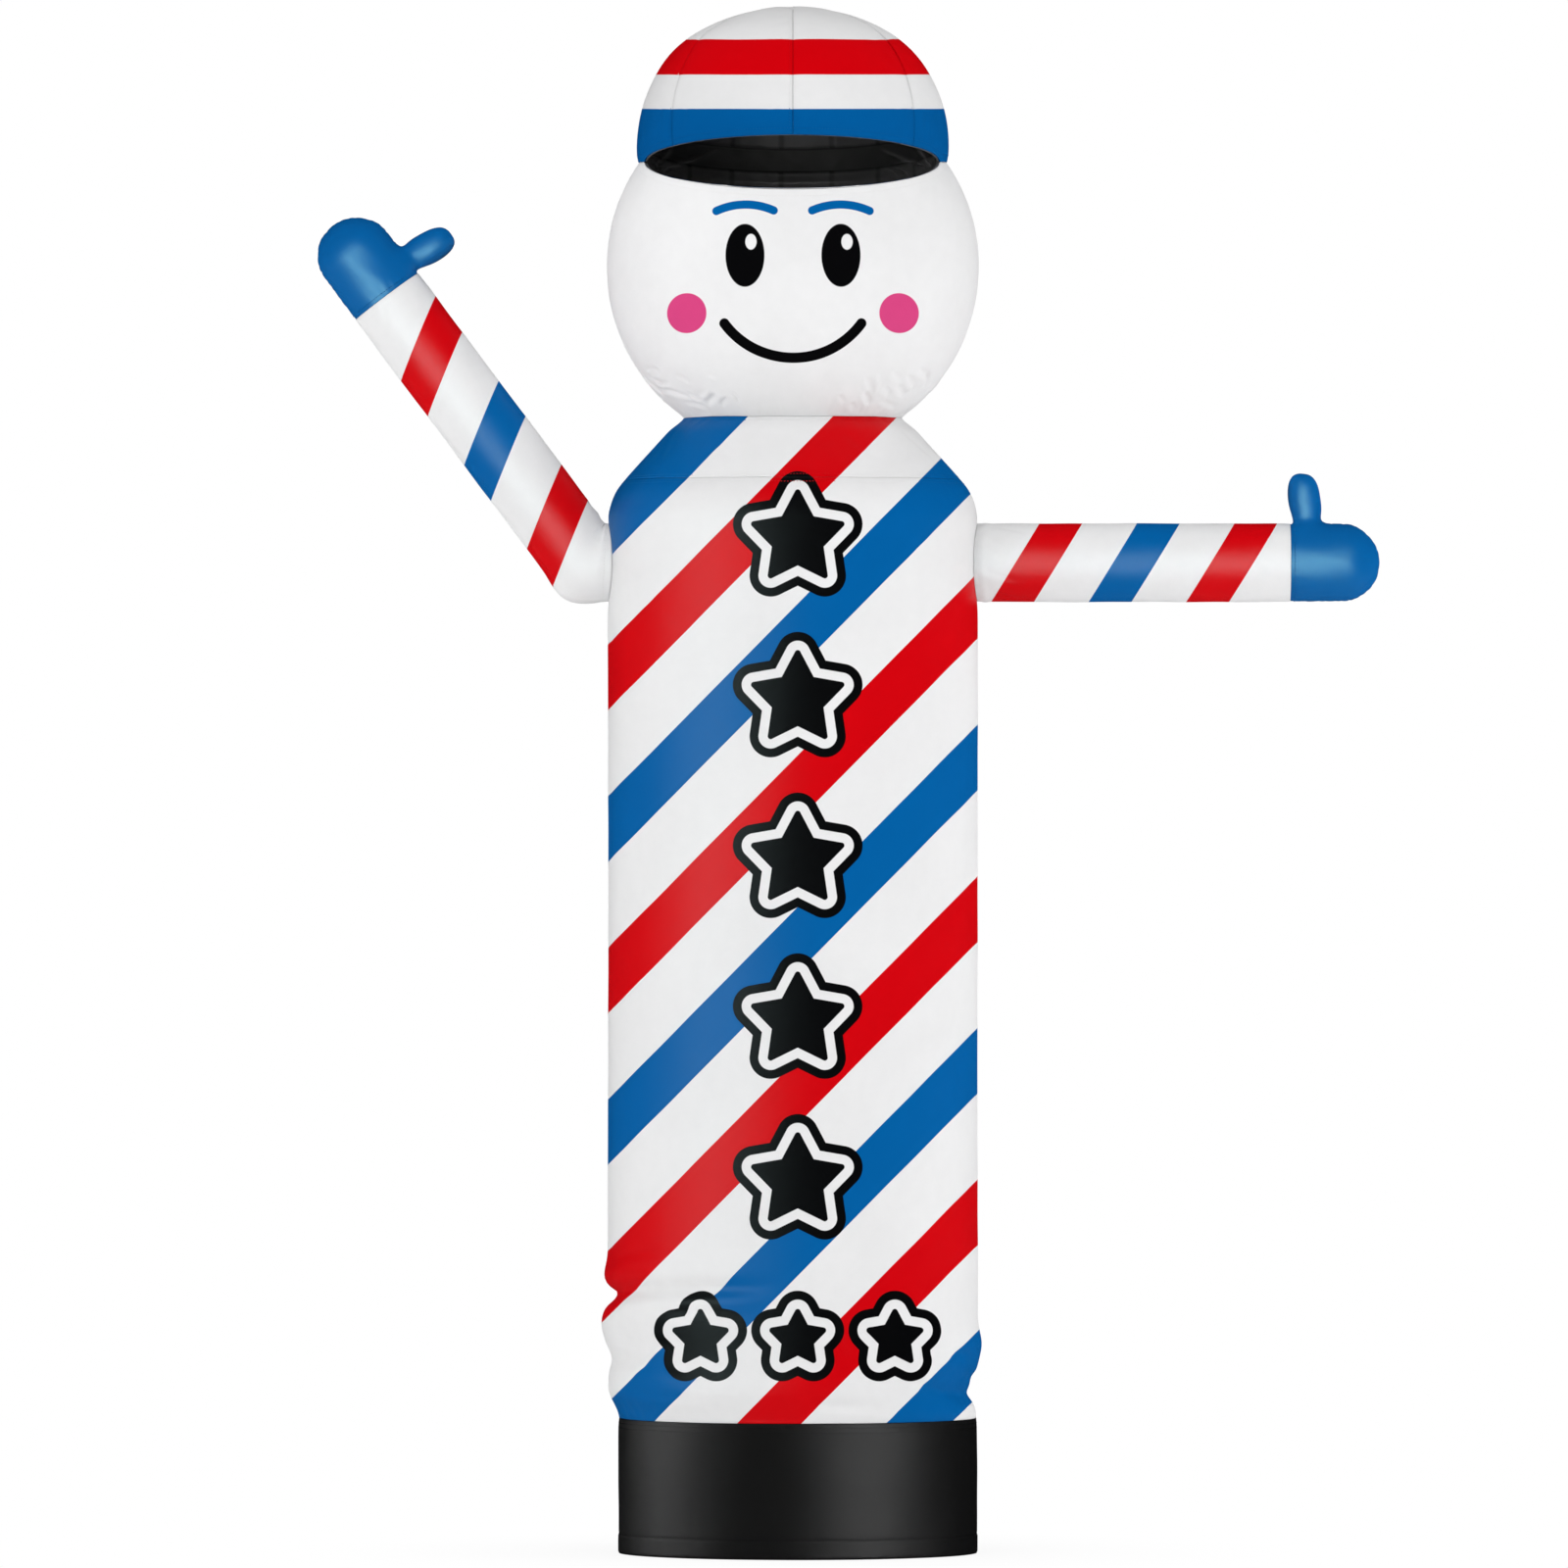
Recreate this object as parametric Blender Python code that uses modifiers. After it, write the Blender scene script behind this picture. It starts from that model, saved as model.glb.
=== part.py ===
"""Inflatable air dancer: a sewn nylon figure that stands full of air.

A black collar at the foot carries a striped tube with a coned shoulder yoke, a ball head and a seven-gore cap. The
cap is tipped back over a vent in the head's front, and its inside and the head's rim are lined in black. One sleeve
is raised and one is level, and each ends in a mitt with a thumb.

Metres, +Z up, front towards -Y. The origin is the middle of the collar's mouth, on the ground. Angles round the
figure are counted from the front, towards +X.
"""

import math

import bmesh
import bpy
from mathutils import Vector

# The cloth.
CLOTH = 0.002  # thickness of every sheet
SEAM = 0.0003  # left between pieces sewn edge to edge

# The collar, which slips over a blower's round outlet.
COLLAR_RADIUS = 0.2415
COLLAR_TOP = 0.178

# The tube and the yoke. The tube stands a little to -X of the collar.
TUBE_X = -0.0066
TUBE_RADIUS = 0.2488
FOOT_HEIGHT = 0.045  # in which the tube widens from the collar
YOKE_SEAM = 1.4454
SHOULDER_SLOPE = 0.905  # metres in for each metre up
SHOULDER_ROUND = 0.02
NECK_RADIUS = 0.1459

# The head, a ball that the neck, the cap's seam and the vent cut.
BALL_RADIUS = 0.2508
BALL_Z = 1.7318
NECK_Z = BALL_Z - math.sqrt(BALL_RADIUS**2 - NECK_RADIUS**2)
PUCKERS = 16  # gathers round the neck
PUCKER_DEPTH = 0.0024
PUCKER_Z = NECK_Z + 0.036
PUCKER_REACH = 0.022
NECK_ROWS = (0, 0.017, 0.036, 0.058)  # heights of the puckered rows above the neck
RIM_ROWS = (0.14, 0.32, 0.5, 0.66, 0.8, 0.91, 1.0)  # rows from there, 0, to the rim, 1
LINING_ROWS = 5  # of the head's rows, counted down from its rim, that the lining has

# The cap, half an ellipsoid on the ball's own centre line, tipped back.
CAP_TILT = math.radians(8.2)
CAP_RADIUS = 0.2086
CAP_HEIGHT = 0.178
BRIM_RADIUS = 0.2055
BRIM_LATITUDE = -math.acos(BRIM_RADIUS / CAP_RADIUS)
BRIM_OFF_BALL = math.sqrt(BALL_RADIUS**2 - BRIM_RADIUS**2)
GORES = 7
GORE_COLUMNS = 6
CAP_LATITUDES = (0.16, 0.33, 0.5, 0.66, 0.8, 0.92)  # rows between the brim, 0, and the crown, 1
CROWN_LATITUDE = math.pi / 2 - 0.004  # where a gore's tip ends, short of the others'

# The vent, a wedge between the cap's brim and the head's rim, open at the front. Its corners lie on the brim.
CORNER_Y = -0.009
CORNER_Z = BALL_Z + BRIM_OFF_BALL / math.cos(CAP_TILT) - CORNER_Y * math.tan(CAP_TILT)
RIM_TILT = math.radians(12.45)

# The sleeves and mitts.
SLEEVE_RADIUS = 0.0528
SLEEVE_Z = 1.3332
SLEEVE_POINTS = 16
ROOT_GAP = 0.0005  # from a sleeve's root to the tube, which is a polygon
LEVEL_CUFF_X = 0.6634
RAISE = math.radians(53.2)
BEND_RADIUS = 0.003  # from the pivot of the bend to the sleeve's upper side
BEND_SET_OFF = 0.002
BEND_CORNER = 0.8  # how far the cloth fills the bend's outer corner
RAISED_LENGTH = 0.4196  # straight part, from the bend to the cuff
ARMHOLE_RADIUS = 0.05

ONE_STEP_SHRINK = 0.9254  # radius that an eight-sided ring keeps in one step of subdivision

TUBE_POINTS = 48
BALL_POINTS = 64  # a corner of the vent falls on the 17th

# The main folds above the collar: where each one lies, how far it fades out, and how far it stands out or in.
FOLDS = (
    # angle, height, fades over (degrees, metres), stands out, slant in metres for each radian
    {"angle": -100, "height": 0.377, "wide": 46, "tall": 0.018, "out": 0.0050, "slant": -0.010},
    {"angle": -96, "height": 0.350, "wide": 50, "tall": 0.014, "out": -0.0150, "slant": 0.012},
    {"angle": -92, "height": 0.309, "wide": 44, "tall": 0.026, "out": 0.0085, "slant": 0.008},
    {"angle": -84, "height": 0.262, "wide": 34, "tall": 0.015, "out": -0.0060, "slant": 0.010},
    {"angle": 95, "height": 0.280, "wide": 46, "tall": 0.022, "out": 0.0055, "slant": -0.010},
    {"angle": 88, "height": 0.209, "wide": 40, "tall": 0.025, "out": -0.0190, "slant": -0.006},
    {"angle": 12, "height": 0.236, "wide": 30, "tall": 0.020, "out": 0.0035, "slant": 0.014},
    {"angle": 158, "height": 0.330, "wide": 38, "tall": 0.016, "out": -0.0095, "slant": 0.020},
    {"angle": -152, "height": 0.246, "wide": 36, "tall": 0.018, "out": -0.0080, "slant": -0.016},
)
FOLD_ROWS = 16  # rows of faces in the folded stretch, which are closer than those above it
FOLD_TOP = 0.43
PLAIN_ROWS = (0.62, 0.9, 1.18, 1.29, 1.385)  # heights of the rows above the folds, up to the shoulder
SHOULDER_ROW = 1.4

WHITE = (0.80, 0.80, 0.81)
BLUE = (0.004, 0.105, 0.342)
BLACK = (0.012, 0.012, 0.013)


def smooth_step(low, high, value):
    share = min(1.0, max(0.0, (value - low) / (high - low)))
    return share * share * (3 - 2 * share)


def smooth_min(a, b, blend):
    share = min(1.0, max(0.0, 0.5 + 0.5 * (b - a) / blend))
    return b + (a - b) * share - blend * share * (1 - share)


def between(low, high, steps):
    return [low + (high - low) * step / steps for step in range(steps + 1)]


def cloth_material(name, colour, roughness):
    material = bpy.data.materials.new(name)
    material.use_nodes = True
    shader = material.node_tree.nodes["Principled BSDF"]
    shader.inputs["Base Color"].default_value = (*colour, 1)
    shader.inputs["Roughness"].default_value = roughness
    shader.inputs["Metallic"].default_value = 0
    return material


def place(name, mesh, material, collection):
    mesh.materials.append(material)
    piece = bpy.data.objects.new(name, mesh)
    collection.objects.link(piece)
    return piece


def sewn_sheet(name, outside, inside, ring=True):
    """A closed mesh between two skins of cloth, each a list of rows of points. A ring's rows close on themselves, and
    an open sheet has side edges. The folds, tipped rims and coped ends make each row unlike the next. A last row of
    one point closes the sheet at a crown or a tip."""
    form = bmesh.new()
    skins = [[[form.verts.new(point) for point in row] for row in rows] for rows in (outside, inside)]
    outer, inner = skins
    columns = len(outer[0])
    steps = range(columns if ring else columns - 1)

    def corners(rows, row, column):
        """The four corners of a face, or three under a crown, anticlockwise from outside."""
        after = (column + 1) % columns
        upper = rows[row + 1]
        top = [upper[0]] if len(upper) == 1 else [upper[after], upper[column]]
        return [rows[row][column], rows[row][after], *top]

    for row in range(len(outer) - 1):
        for column in steps:
            form.faces.new(corners(outer, row, column))
            form.faces.new(corners(inner, row, column)[::-1])
    for edge, turned in ((0, False), (-1, True)):
        if len(outer[edge]) == 1:
            continue
        for column in steps:
            after = (column + 1) % columns
            rim = [outer[edge][after], outer[edge][column], inner[edge][column], inner[edge][after]]
            form.faces.new(rim[::-1] if turned else rim)
    if not ring:
        for row in range(len(outer) - 1):
            for edge, turned in ((0, False), (-1, True)):
                side = [outer[row][edge], outer[row + 1][edge], inner[row + 1][edge], inner[row][edge]]
                form.faces.new(side[::-1] if turned else side)
    mesh = bpy.data.meshes.new(name)
    form.to_mesh(mesh)
    form.free()
    mesh.shade_smooth()
    mesh.set_sharp_from_angle(angle=math.radians(50))
    return mesh


def turned_sheet(name, points, heights_at, radius_at, centre_at):
    """A sheet that stands round a vertical line. heights_at gives an angle's heights, row by row, and radius_at the
    outer skin there. The rims are level across the cloth, so that two sheets meet edge to edge."""
    angles = [math.tau * point / points for point in range(points)]
    heights = [heights_at(angle) for angle in angles]
    step = 0.0005
    skins = []
    for depth in (0, CLOTH):
        rows = []
        for row in range(len(heights[0])):
            ring = []
            for angle, column in zip(angles, heights):
                z = column[row]
                slope = (radius_at(angle, z + step) - radius_at(angle, z - step)) / (2 * step)
                across = depth * min(2.0, math.hypot(1, slope))
                radius = radius_at(angle, z) - across
                ring.append((centre_at(z) + radius * math.sin(angle), -radius * math.cos(angle), z))
            rows.append(ring)
        skins.append(rows)
    return sewn_sheet(name, *skins)


def add_wall(piece):
    """Makes an open surface a sheet of cloth, with the surface outside."""
    wall = piece.modifiers.new("wall", "SOLIDIFY")
    wall.thickness = CLOTH
    wall.offset = -1
    wall.use_even_offset = True


def fold(angle, z):
    """How far the main folds push the tube's skin out at a place."""
    total = 0
    for row in FOLDS:
        off = math.remainder(angle - math.radians(row["angle"]), math.tau)
        wide = off / math.radians(row["wide"])
        tall = (z - row["height"] - row["slant"] * off) / row["tall"]
        total += row["out"] * math.exp(-wide * wide - tall * tall)
    return total


def foot_share(z):
    """0 at the collar and 1 where the tube has its full width."""
    return smooth_step(COLLAR_TOP, COLLAR_TOP + FOOT_HEIGHT, z)


def tube_centre(z):
    return TUBE_X * foot_share(z)


def tube_radius(angle, z):
    cone = NECK_RADIUS + SHOULDER_SLOPE * (NECK_Z - z)
    plain = smooth_min(TUBE_RADIUS, cone, SHOULDER_ROUND)
    return COLLAR_RADIUS + (plain + fold(angle, z) - COLLAR_RADIUS) * foot_share(z)


def ball_radius(angle, z, reach=BALL_RADIUS):
    """The ball's skin, with gathers drawn into the neck seam, strongest away from the face."""
    plain = math.sqrt(max(0.0, reach**2 - (z - BALL_Z) ** 2))
    fade = math.exp(-(((z - PUCKER_Z) / PUCKER_REACH) ** 2)) * smooth_step(NECK_Z, NECK_Z + 0.012, z)
    uneven = 0.65 + 0.35 * math.sin(5 * angle + 0.6)
    wave = math.sin(PUCKERS * angle + 1.3 * math.sin(3 * angle))
    return plain + PUCKER_DEPTH * fade * uneven * wave


def rim_height(angle):
    """Where the ball's skin ends: down to the front along the vent, and down to the back along the cap's seam."""
    z = CORNER_Z
    for _ in range(30):
        y = -math.sqrt(BALL_RADIUS**2 - (z - BALL_Z) ** 2) * math.cos(angle)
        slope = math.tan(RIM_TILT) if y < CORNER_Y else -math.tan(CAP_TILT)
        z = CORNER_Z + (y - CORNER_Y) * slope
    return z - SEAM


def make_collar(materials, collection):
    """A plain sleeve of heavy cloth, open at both ends."""
    form = bmesh.new()
    bmesh.ops.create_cone(
        form, segments=TUBE_POINTS, radius1=COLLAR_RADIUS, radius2=COLLAR_RADIUS, depth=COLLAR_TOP - SEAM
    )
    mesh = bpy.data.meshes.new("collar")
    form.to_mesh(mesh)
    form.free()
    collar = place("collar", mesh, materials["black"], collection)
    collar.location.z = (COLLAR_TOP - SEAM) / 2
    add_wall(collar)
    mesh.shade_smooth()
    return collar


def make_tube(materials, collection, cutters):
    """The striped tube, folded above the collar, with an armhole through each side."""
    rows = between(COLLAR_TOP, FOLD_TOP, FOLD_ROWS)
    rows += PLAIN_ROWS
    rows += between(SHOULDER_ROW, YOKE_SEAM - SEAM, 3)
    mesh = turned_sheet("body_tube", TUBE_POINTS, lambda angle: rows, tube_radius, tube_centre)
    tube = place("body_tube", mesh, materials["print"], collection)
    bpy.ops.mesh.primitive_cylinder_add(
        vertices=SLEEVE_POINTS,
        radius=ARMHOLE_RADIUS,
        depth=2 * TUBE_RADIUS + 0.1,
        location=(TUBE_X, 0, SLEEVE_Z),
        rotation=(0, math.pi / 2, 0),
    )
    cutter = bpy.context.object
    cutter.name = "armhole_cutter"
    cutter.hide_render = True
    cutter.display_type = "WIRE"
    for owner in cutter.users_collection:
        owner.objects.unlink(cutter)
    cutters.objects.link(cutter)
    holes = tube.modifiers.new("armholes", "BOOLEAN")
    holes.operation = "DIFFERENCE"
    holes.solver = "EXACT"
    holes.object = cutter
    return tube


def make_yoke(materials, collection):
    """The coned panel between the tube's seam and the neck."""
    rows = between(YOKE_SEAM, NECK_Z - SEAM, 4)
    mesh = turned_sheet("shoulder_yoke", TUBE_POINTS, lambda angle: rows, tube_radius, tube_centre)
    return place("shoulder_yoke", mesh, materials["print"], collection)


def head_rows(angle):
    """Heights of the ball's rows at an angle, close together where the neck puckers."""
    top = rim_height(angle)
    low = [NECK_Z + height for height in NECK_ROWS]
    return low + [low[-1] + (top - low[-1]) * share for share in RIM_ROWS]


def make_head(materials, collection):
    mesh = turned_sheet("head_ball", BALL_POINTS, head_rows, ball_radius, lambda z: TUBE_X)
    return place("head_ball", mesh, materials["white"], collection)


def make_head_lining(materials, collection):
    """The black facing behind the head's rim, on the ball's own rows."""
    reach = BALL_RADIUS - CLOTH - SEAM
    mesh = turned_sheet(
        "head_lining",
        BALL_POINTS,
        lambda angle: head_rows(angle)[-LINING_ROWS:],
        lambda angle, z: ball_radius(angle, z, reach),
        lambda z: TUBE_X,
    )
    return place("head_lining", mesh, materials["lining"], collection)


def cap_rows():
    """Latitudes of the cap's rows, below the crown."""
    rise = math.pi / 2 - BRIM_LATITUDE
    return [BRIM_LATITUDE] + [BRIM_LATITUDE + rise * share for share in CAP_LATITUDES]


def cap_point(angle, latitude, inset):
    """A point of the cap's skin, inset from its outside, in the cap's own frame, with +Z through its crown."""
    out = (CAP_RADIUS - inset) * math.cos(latitude)
    return (out * math.sin(angle), -out * math.cos(angle), (CAP_HEIGHT - inset) * math.sin(latitude))


def make_cap_frame(collection):
    """An empty at the cap's centre, tipped back with it."""
    frame = bpy.data.objects.new("cap_frame", None)
    collection.objects.link(frame)
    lift = BRIM_OFF_BALL - CAP_HEIGHT * math.sin(BRIM_LATITUDE)
    frame.location = (TUBE_X, lift * math.sin(CAP_TILT), BALL_Z + lift * math.cos(CAP_TILT))
    frame.rotation_euler.x = -CAP_TILT
    return frame


def make_gores(materials, collection, frame):
    """Seven equal panels, seamed at the front, round the cap's crown."""
    half = math.pi / GORES
    skins = []
    for inset in (0, CLOTH):
        rows = []
        for latitude in cap_rows():
            margin = SEAM / 2 / ((CAP_RADIUS - inset) * math.cos(latitude))
            angles = between(-half + margin, half - margin, GORE_COLUMNS)
            rows.append([cap_point(angle, latitude, inset) for angle in angles])
        rows.append([cap_point(0, CROWN_LATITUDE, inset)])
        skins.append(rows)
    mesh = sewn_sheet("cap_gore", *skins, ring=False)
    for number in range(GORES):
        gore = place(f"cap_gore_{number + 1}", mesh if number == 0 else mesh.copy(), materials["print"], collection)
        gore.parent = frame
        gore.rotation_euler.z = half + 2 * half * number


def make_cap_lining(materials, collection, frame):
    """One black dome inside the gores, turned from its front edge, with the gores' own columns and rows."""
    latitudes = [math.pi / 2, *reversed(cap_rows())]
    profile = [cap_point(0, latitude, CLOTH + SEAM) for latitude in latitudes]
    mesh = bpy.data.meshes.new("cap_lining")
    mesh.from_pydata(profile, [(row, row + 1) for row in range(len(profile) - 1)], [])
    lining = place("cap_lining", mesh, materials["lining"], collection)
    lining.parent = frame
    turn = lining.modifiers.new("turn", "SCREW")
    turn.steps = GORES * GORE_COLUMNS
    turn.render_steps = turn.steps
    turn.use_merge_vertices = True
    turn.merge_threshold = 0.0001
    add_wall(lining)
    return lining


def sleeve_ring(centre, down, radius, side, stretch=1.0):
    """Points round a sleeve from its upper side, by the front at +X and by the back at -X. down points across it, to
    its lower side, in the XZ plane, and stretch lengthens the ring that way."""
    ring = []
    for point in range(SLEEVE_POINTS):
        turn = math.tau * point / SLEEVE_POINTS
        across = -radius * stretch * math.cos(turn)
        ring.append(centre + down * across - Vector((0, side * radius * math.sin(turn), 0)))
    return ring


def coped(ring, side):
    """A sleeve's root ring, its points set on the tube's skin. side is 1 at +X and -1 at -X."""
    reach = TUBE_RADIUS + ROOT_GAP
    return [Vector((TUBE_X + side * math.sqrt(reach**2 - p.y**2), p.y, p.z)) for p in ring]


def make_level_sleeve(materials, collection):
    """A straight tube from the +X armhole to the cuff."""
    down = Vector((0, 0, -1))
    root_x = TUBE_X + TUBE_RADIUS
    skins = []
    for radius in (SLEEVE_RADIUS, SLEEVE_RADIUS - CLOTH):
        root = sleeve_ring(Vector((root_x, 0, SLEEVE_Z)), down, radius, 1)
        rows = [coped(root, 1)]
        for x in [root_x + 0.012, *between(root_x + 0.1, LEVEL_CUFF_X - SEAM, 3)]:
            rows.append(sleeve_ring(Vector((x, 0, SLEEVE_Z)), down, radius, 1))
        skins.append(rows)
    mesh = sewn_sheet("level_sleeve", *skins)
    return place("level_sleeve", mesh, materials["print"], collection)


def raised_line(along):
    """A point on the raised sleeve's straight centre line, that far past the bend."""
    pivot = Vector((TUBE_X - TUBE_RADIUS - BEND_SET_OFF, 0, SLEEVE_Z + SLEEVE_RADIUS + BEND_RADIUS))
    down = Vector((-math.sin(RAISE), 0, -math.cos(RAISE)))
    out = Vector((-math.cos(RAISE), 0, math.sin(RAISE)))
    return pivot + down * (BEND_RADIUS + SLEEVE_RADIUS) + out * along


def make_raised_sleeve(materials, collection):
    """A tube from the -X armhole that turns up at its root. Its rings fan out from a pivot just above the root, and
    those in the middle of the bend are drawn out to its corner."""
    pivot = raised_line(0) - Vector((-math.sin(RAISE), 0, -math.cos(RAISE))) * (BEND_RADIUS + SLEEVE_RADIUS)
    down = Vector((0, 0, -1))
    corner = 1 / math.cos(RAISE / 2) - 1
    skins = []
    for radius in (SLEEVE_RADIUS, SLEEVE_RADIUS - CLOTH):
        root = sleeve_ring(Vector((TUBE_X - TUBE_RADIUS, 0, SLEEVE_Z)), down, radius, -1)
        rows = [coped(root, -1)]
        for share in between(0, 1, 6):
            turn = RAISE * share
            across = Vector((-math.sin(turn), 0, -math.cos(turn)))
            stretch = 1 + BEND_CORNER * corner * math.sin(math.pi * share) ** 2
            centre = pivot + across * (BEND_RADIUS + SLEEVE_RADIUS) * stretch
            rows.append(sleeve_ring(centre, across, radius, -1, stretch))
        for along in between(RAISED_LENGTH / 4, RAISED_LENGTH - SEAM, 3):
            rows.append(sleeve_ring(raised_line(along), across, radius, -1))
        skins.append(rows)
    mesh = sewn_sheet("raised_sleeve", *skins)
    return place("raised_sleeve", mesh, materials["print"], collection)


def make_mitt_mesh():
    """A round-ended bag with a thumb, open at the cuff, as a cage for one step of subdivision. +X runs along the
    sleeve and the thumb stands towards +Z."""
    sides = SLEEVE_POINTS // 2
    full = SLEEVE_RADIUS / ONE_STEP_SHRINK
    hand_rings = (
        # distance along, radius
        (0, full),
        (0.003, full),
        (0.042, full),
        (0.072, full),
        (0.103, 0.86 * full),
        (0.1205, 0.45 * full),
    )
    thumb_rings = (
        # height, half width across the hand, half width along it, middle along it
        (0.064, 0.021, 0.0220, 0.0210),
        (0.086, 0.023, 0.0250, 0.0190),
        (0.108, 0.021, 0.0215, 0.0165),
        (0.121, 0.011, 0.0120, 0.0150),
    )
    form = bmesh.new()
    rings = []
    for along, radius in hand_rings:
        turns = [math.tau * (side + 0.5) / sides for side in range(sides)]
        rings.append([form.verts.new((along, radius * math.sin(t), radius * math.cos(t))) for t in turns])
    for row in range(len(rings) - 1):
        for side in range(sides):
            after = (side + 1) % sides
            if row == 1 and side == sides - 1:
                continue  # the thumb grows out of this gap
            form.faces.new([rings[row][side], rings[row][after], rings[row + 1][after], rings[row + 1][side]])
    form.faces.new(rings[-1])
    low = [rings[1][sides - 1], rings[1][0], rings[2][0], rings[2][sides - 1]]
    for height, across, along, middle in thumb_rings:
        spots = ((-along, -across), (-along, across), (along, across), (along, -across))
        high = [form.verts.new((middle + x, y, height)) for x, y in spots]
        for side in range(4):
            after = (side + 1) % 4
            form.faces.new([low[side], low[after], high[after], high[side]])
        low = high
    form.faces.new(low)
    bmesh.ops.recalc_face_normals(form, faces=form.faces)
    mesh = bpy.data.meshes.new("mitt")
    form.to_mesh(mesh)
    form.free()
    mesh.shade_smooth()
    return mesh


def make_mitt(name, mesh, materials, collection):
    mitt = place(name, mesh, materials["blue"], collection)
    softened = mitt.modifiers.new("softened", "SUBSURF")
    softened.levels = 1
    softened.render_levels = 1
    add_wall(mitt)
    return mitt


def make_mitts(materials, collection):
    """The same bag twice. The raised one is turned about, so that both thumbs are on top."""
    mesh = make_mitt_mesh()
    level = make_mitt("level_mitt", mesh, materials, collection)
    level.location = (LEVEL_CUFF_X, 0, SLEEVE_Z)
    raised = make_mitt("raised_mitt", mesh.copy(), materials, collection)
    raised.location = raised_line(RAISED_LENGTH)
    raised.rotation_euler = (0, -RAISE, math.pi)


def main():
    for old in list(bpy.data.objects):
        bpy.data.objects.remove(old)
    collection = bpy.data.collections.new("air_dancer")
    cutters = bpy.data.collections.new("cutters")
    for made in (collection, cutters):
        bpy.context.scene.collection.children.link(made)
    materials = {
        "black": cloth_material("black_collar_cloth", BLACK, 0.38),
        "print": cloth_material("printed_nylon", WHITE, 0.45),
        "white": cloth_material("white_nylon", WHITE, 0.45),
        "blue": cloth_material("blue_nylon", BLUE, 0.42),
        "lining": cloth_material("black_lining", BLACK, 0.6),
    }
    make_collar(materials, collection)
    make_tube(materials, collection, cutters)
    make_yoke(materials, collection)
    make_head(materials, collection)
    make_head_lining(materials, collection)
    frame = make_cap_frame(collection)
    make_gores(materials, collection, frame)
    make_cap_lining(materials, collection, frame)
    make_level_sleeve(materials, collection)
    make_raised_sleeve(materials, collection)
    make_mitts(materials, collection)


main()
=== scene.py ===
"""The looks of an inflatable air dancer: fine sewn sheets of printed nylon on the folds of its solids.

Metres, +Z up, front towards -Y, as in the frame. Angles round the figure are counted from the front, towards
+X. Every sheet starts as a grid of points on its solid's skin. Relief then moves them along their normals: a
pinch and puckers at each seam, listed creases, and soft billows.
"""

import math

import bpy
import numpy as np
from mathutils import Matrix, Vector


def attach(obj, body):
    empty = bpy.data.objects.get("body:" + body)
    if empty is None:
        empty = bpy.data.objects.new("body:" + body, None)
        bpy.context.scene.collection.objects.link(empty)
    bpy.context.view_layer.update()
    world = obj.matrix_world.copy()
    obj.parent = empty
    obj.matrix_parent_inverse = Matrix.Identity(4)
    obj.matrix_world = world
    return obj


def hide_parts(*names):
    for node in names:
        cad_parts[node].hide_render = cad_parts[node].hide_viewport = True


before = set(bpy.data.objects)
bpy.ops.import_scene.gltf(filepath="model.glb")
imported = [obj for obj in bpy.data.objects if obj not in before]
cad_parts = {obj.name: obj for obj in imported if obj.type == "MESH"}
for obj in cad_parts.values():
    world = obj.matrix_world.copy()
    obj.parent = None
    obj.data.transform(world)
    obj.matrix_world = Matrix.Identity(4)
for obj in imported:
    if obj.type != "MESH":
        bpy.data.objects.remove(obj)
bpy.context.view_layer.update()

# ---------------------------------------------------------------- sizes, as in the part's source

CLOTH = 0.002
SEAM = 0.0003
COLLAR_RADIUS = 0.2415
COLLAR_TOP = 0.178
TUBE_X = -0.0066
TUBE_RADIUS = 0.2488
FOOT_HEIGHT = 0.045
YOKE_SEAM = 1.4454
SHOULDER_SLOPE = 0.905
SHOULDER_ROUND = 0.02
NECK_RADIUS = 0.1459
BALL_RADIUS = 0.2508
BALL_Z = 1.7318
NECK_Z = BALL_Z - math.sqrt(BALL_RADIUS**2 - NECK_RADIUS**2)
PUCKERS = 16
PUCKER_DEPTH = 0.0024
PUCKER_Z = NECK_Z + 0.036
PUCKER_REACH = 0.022
CAP_TILT = math.radians(8.2)
CAP_RADIUS = 0.2086
CAP_HEIGHT = 0.178
BRIM_RADIUS = 0.2055
BRIM_LATITUDE = -math.acos(BRIM_RADIUS / CAP_RADIUS)
BRIM_OFF_BALL = math.sqrt(BALL_RADIUS**2 - BRIM_RADIUS**2)
GORES = 7
CORNER_Y = -0.009
CORNER_Z = BALL_Z + BRIM_OFF_BALL / math.cos(CAP_TILT) - CORNER_Y * math.tan(CAP_TILT)
SLEEVE_RADIUS = 0.0528
SLEEVE_Z = 1.3332
LEVEL_CUFF_X = 0.6634
RAISE = math.radians(53.2)
BEND_RADIUS = 0.003
BEND_SET_OFF = 0.002
BEND_CORNER = 0.8
RAISED_LENGTH = 0.4196
ARMHOLE_RADIUS = 0.05

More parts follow.
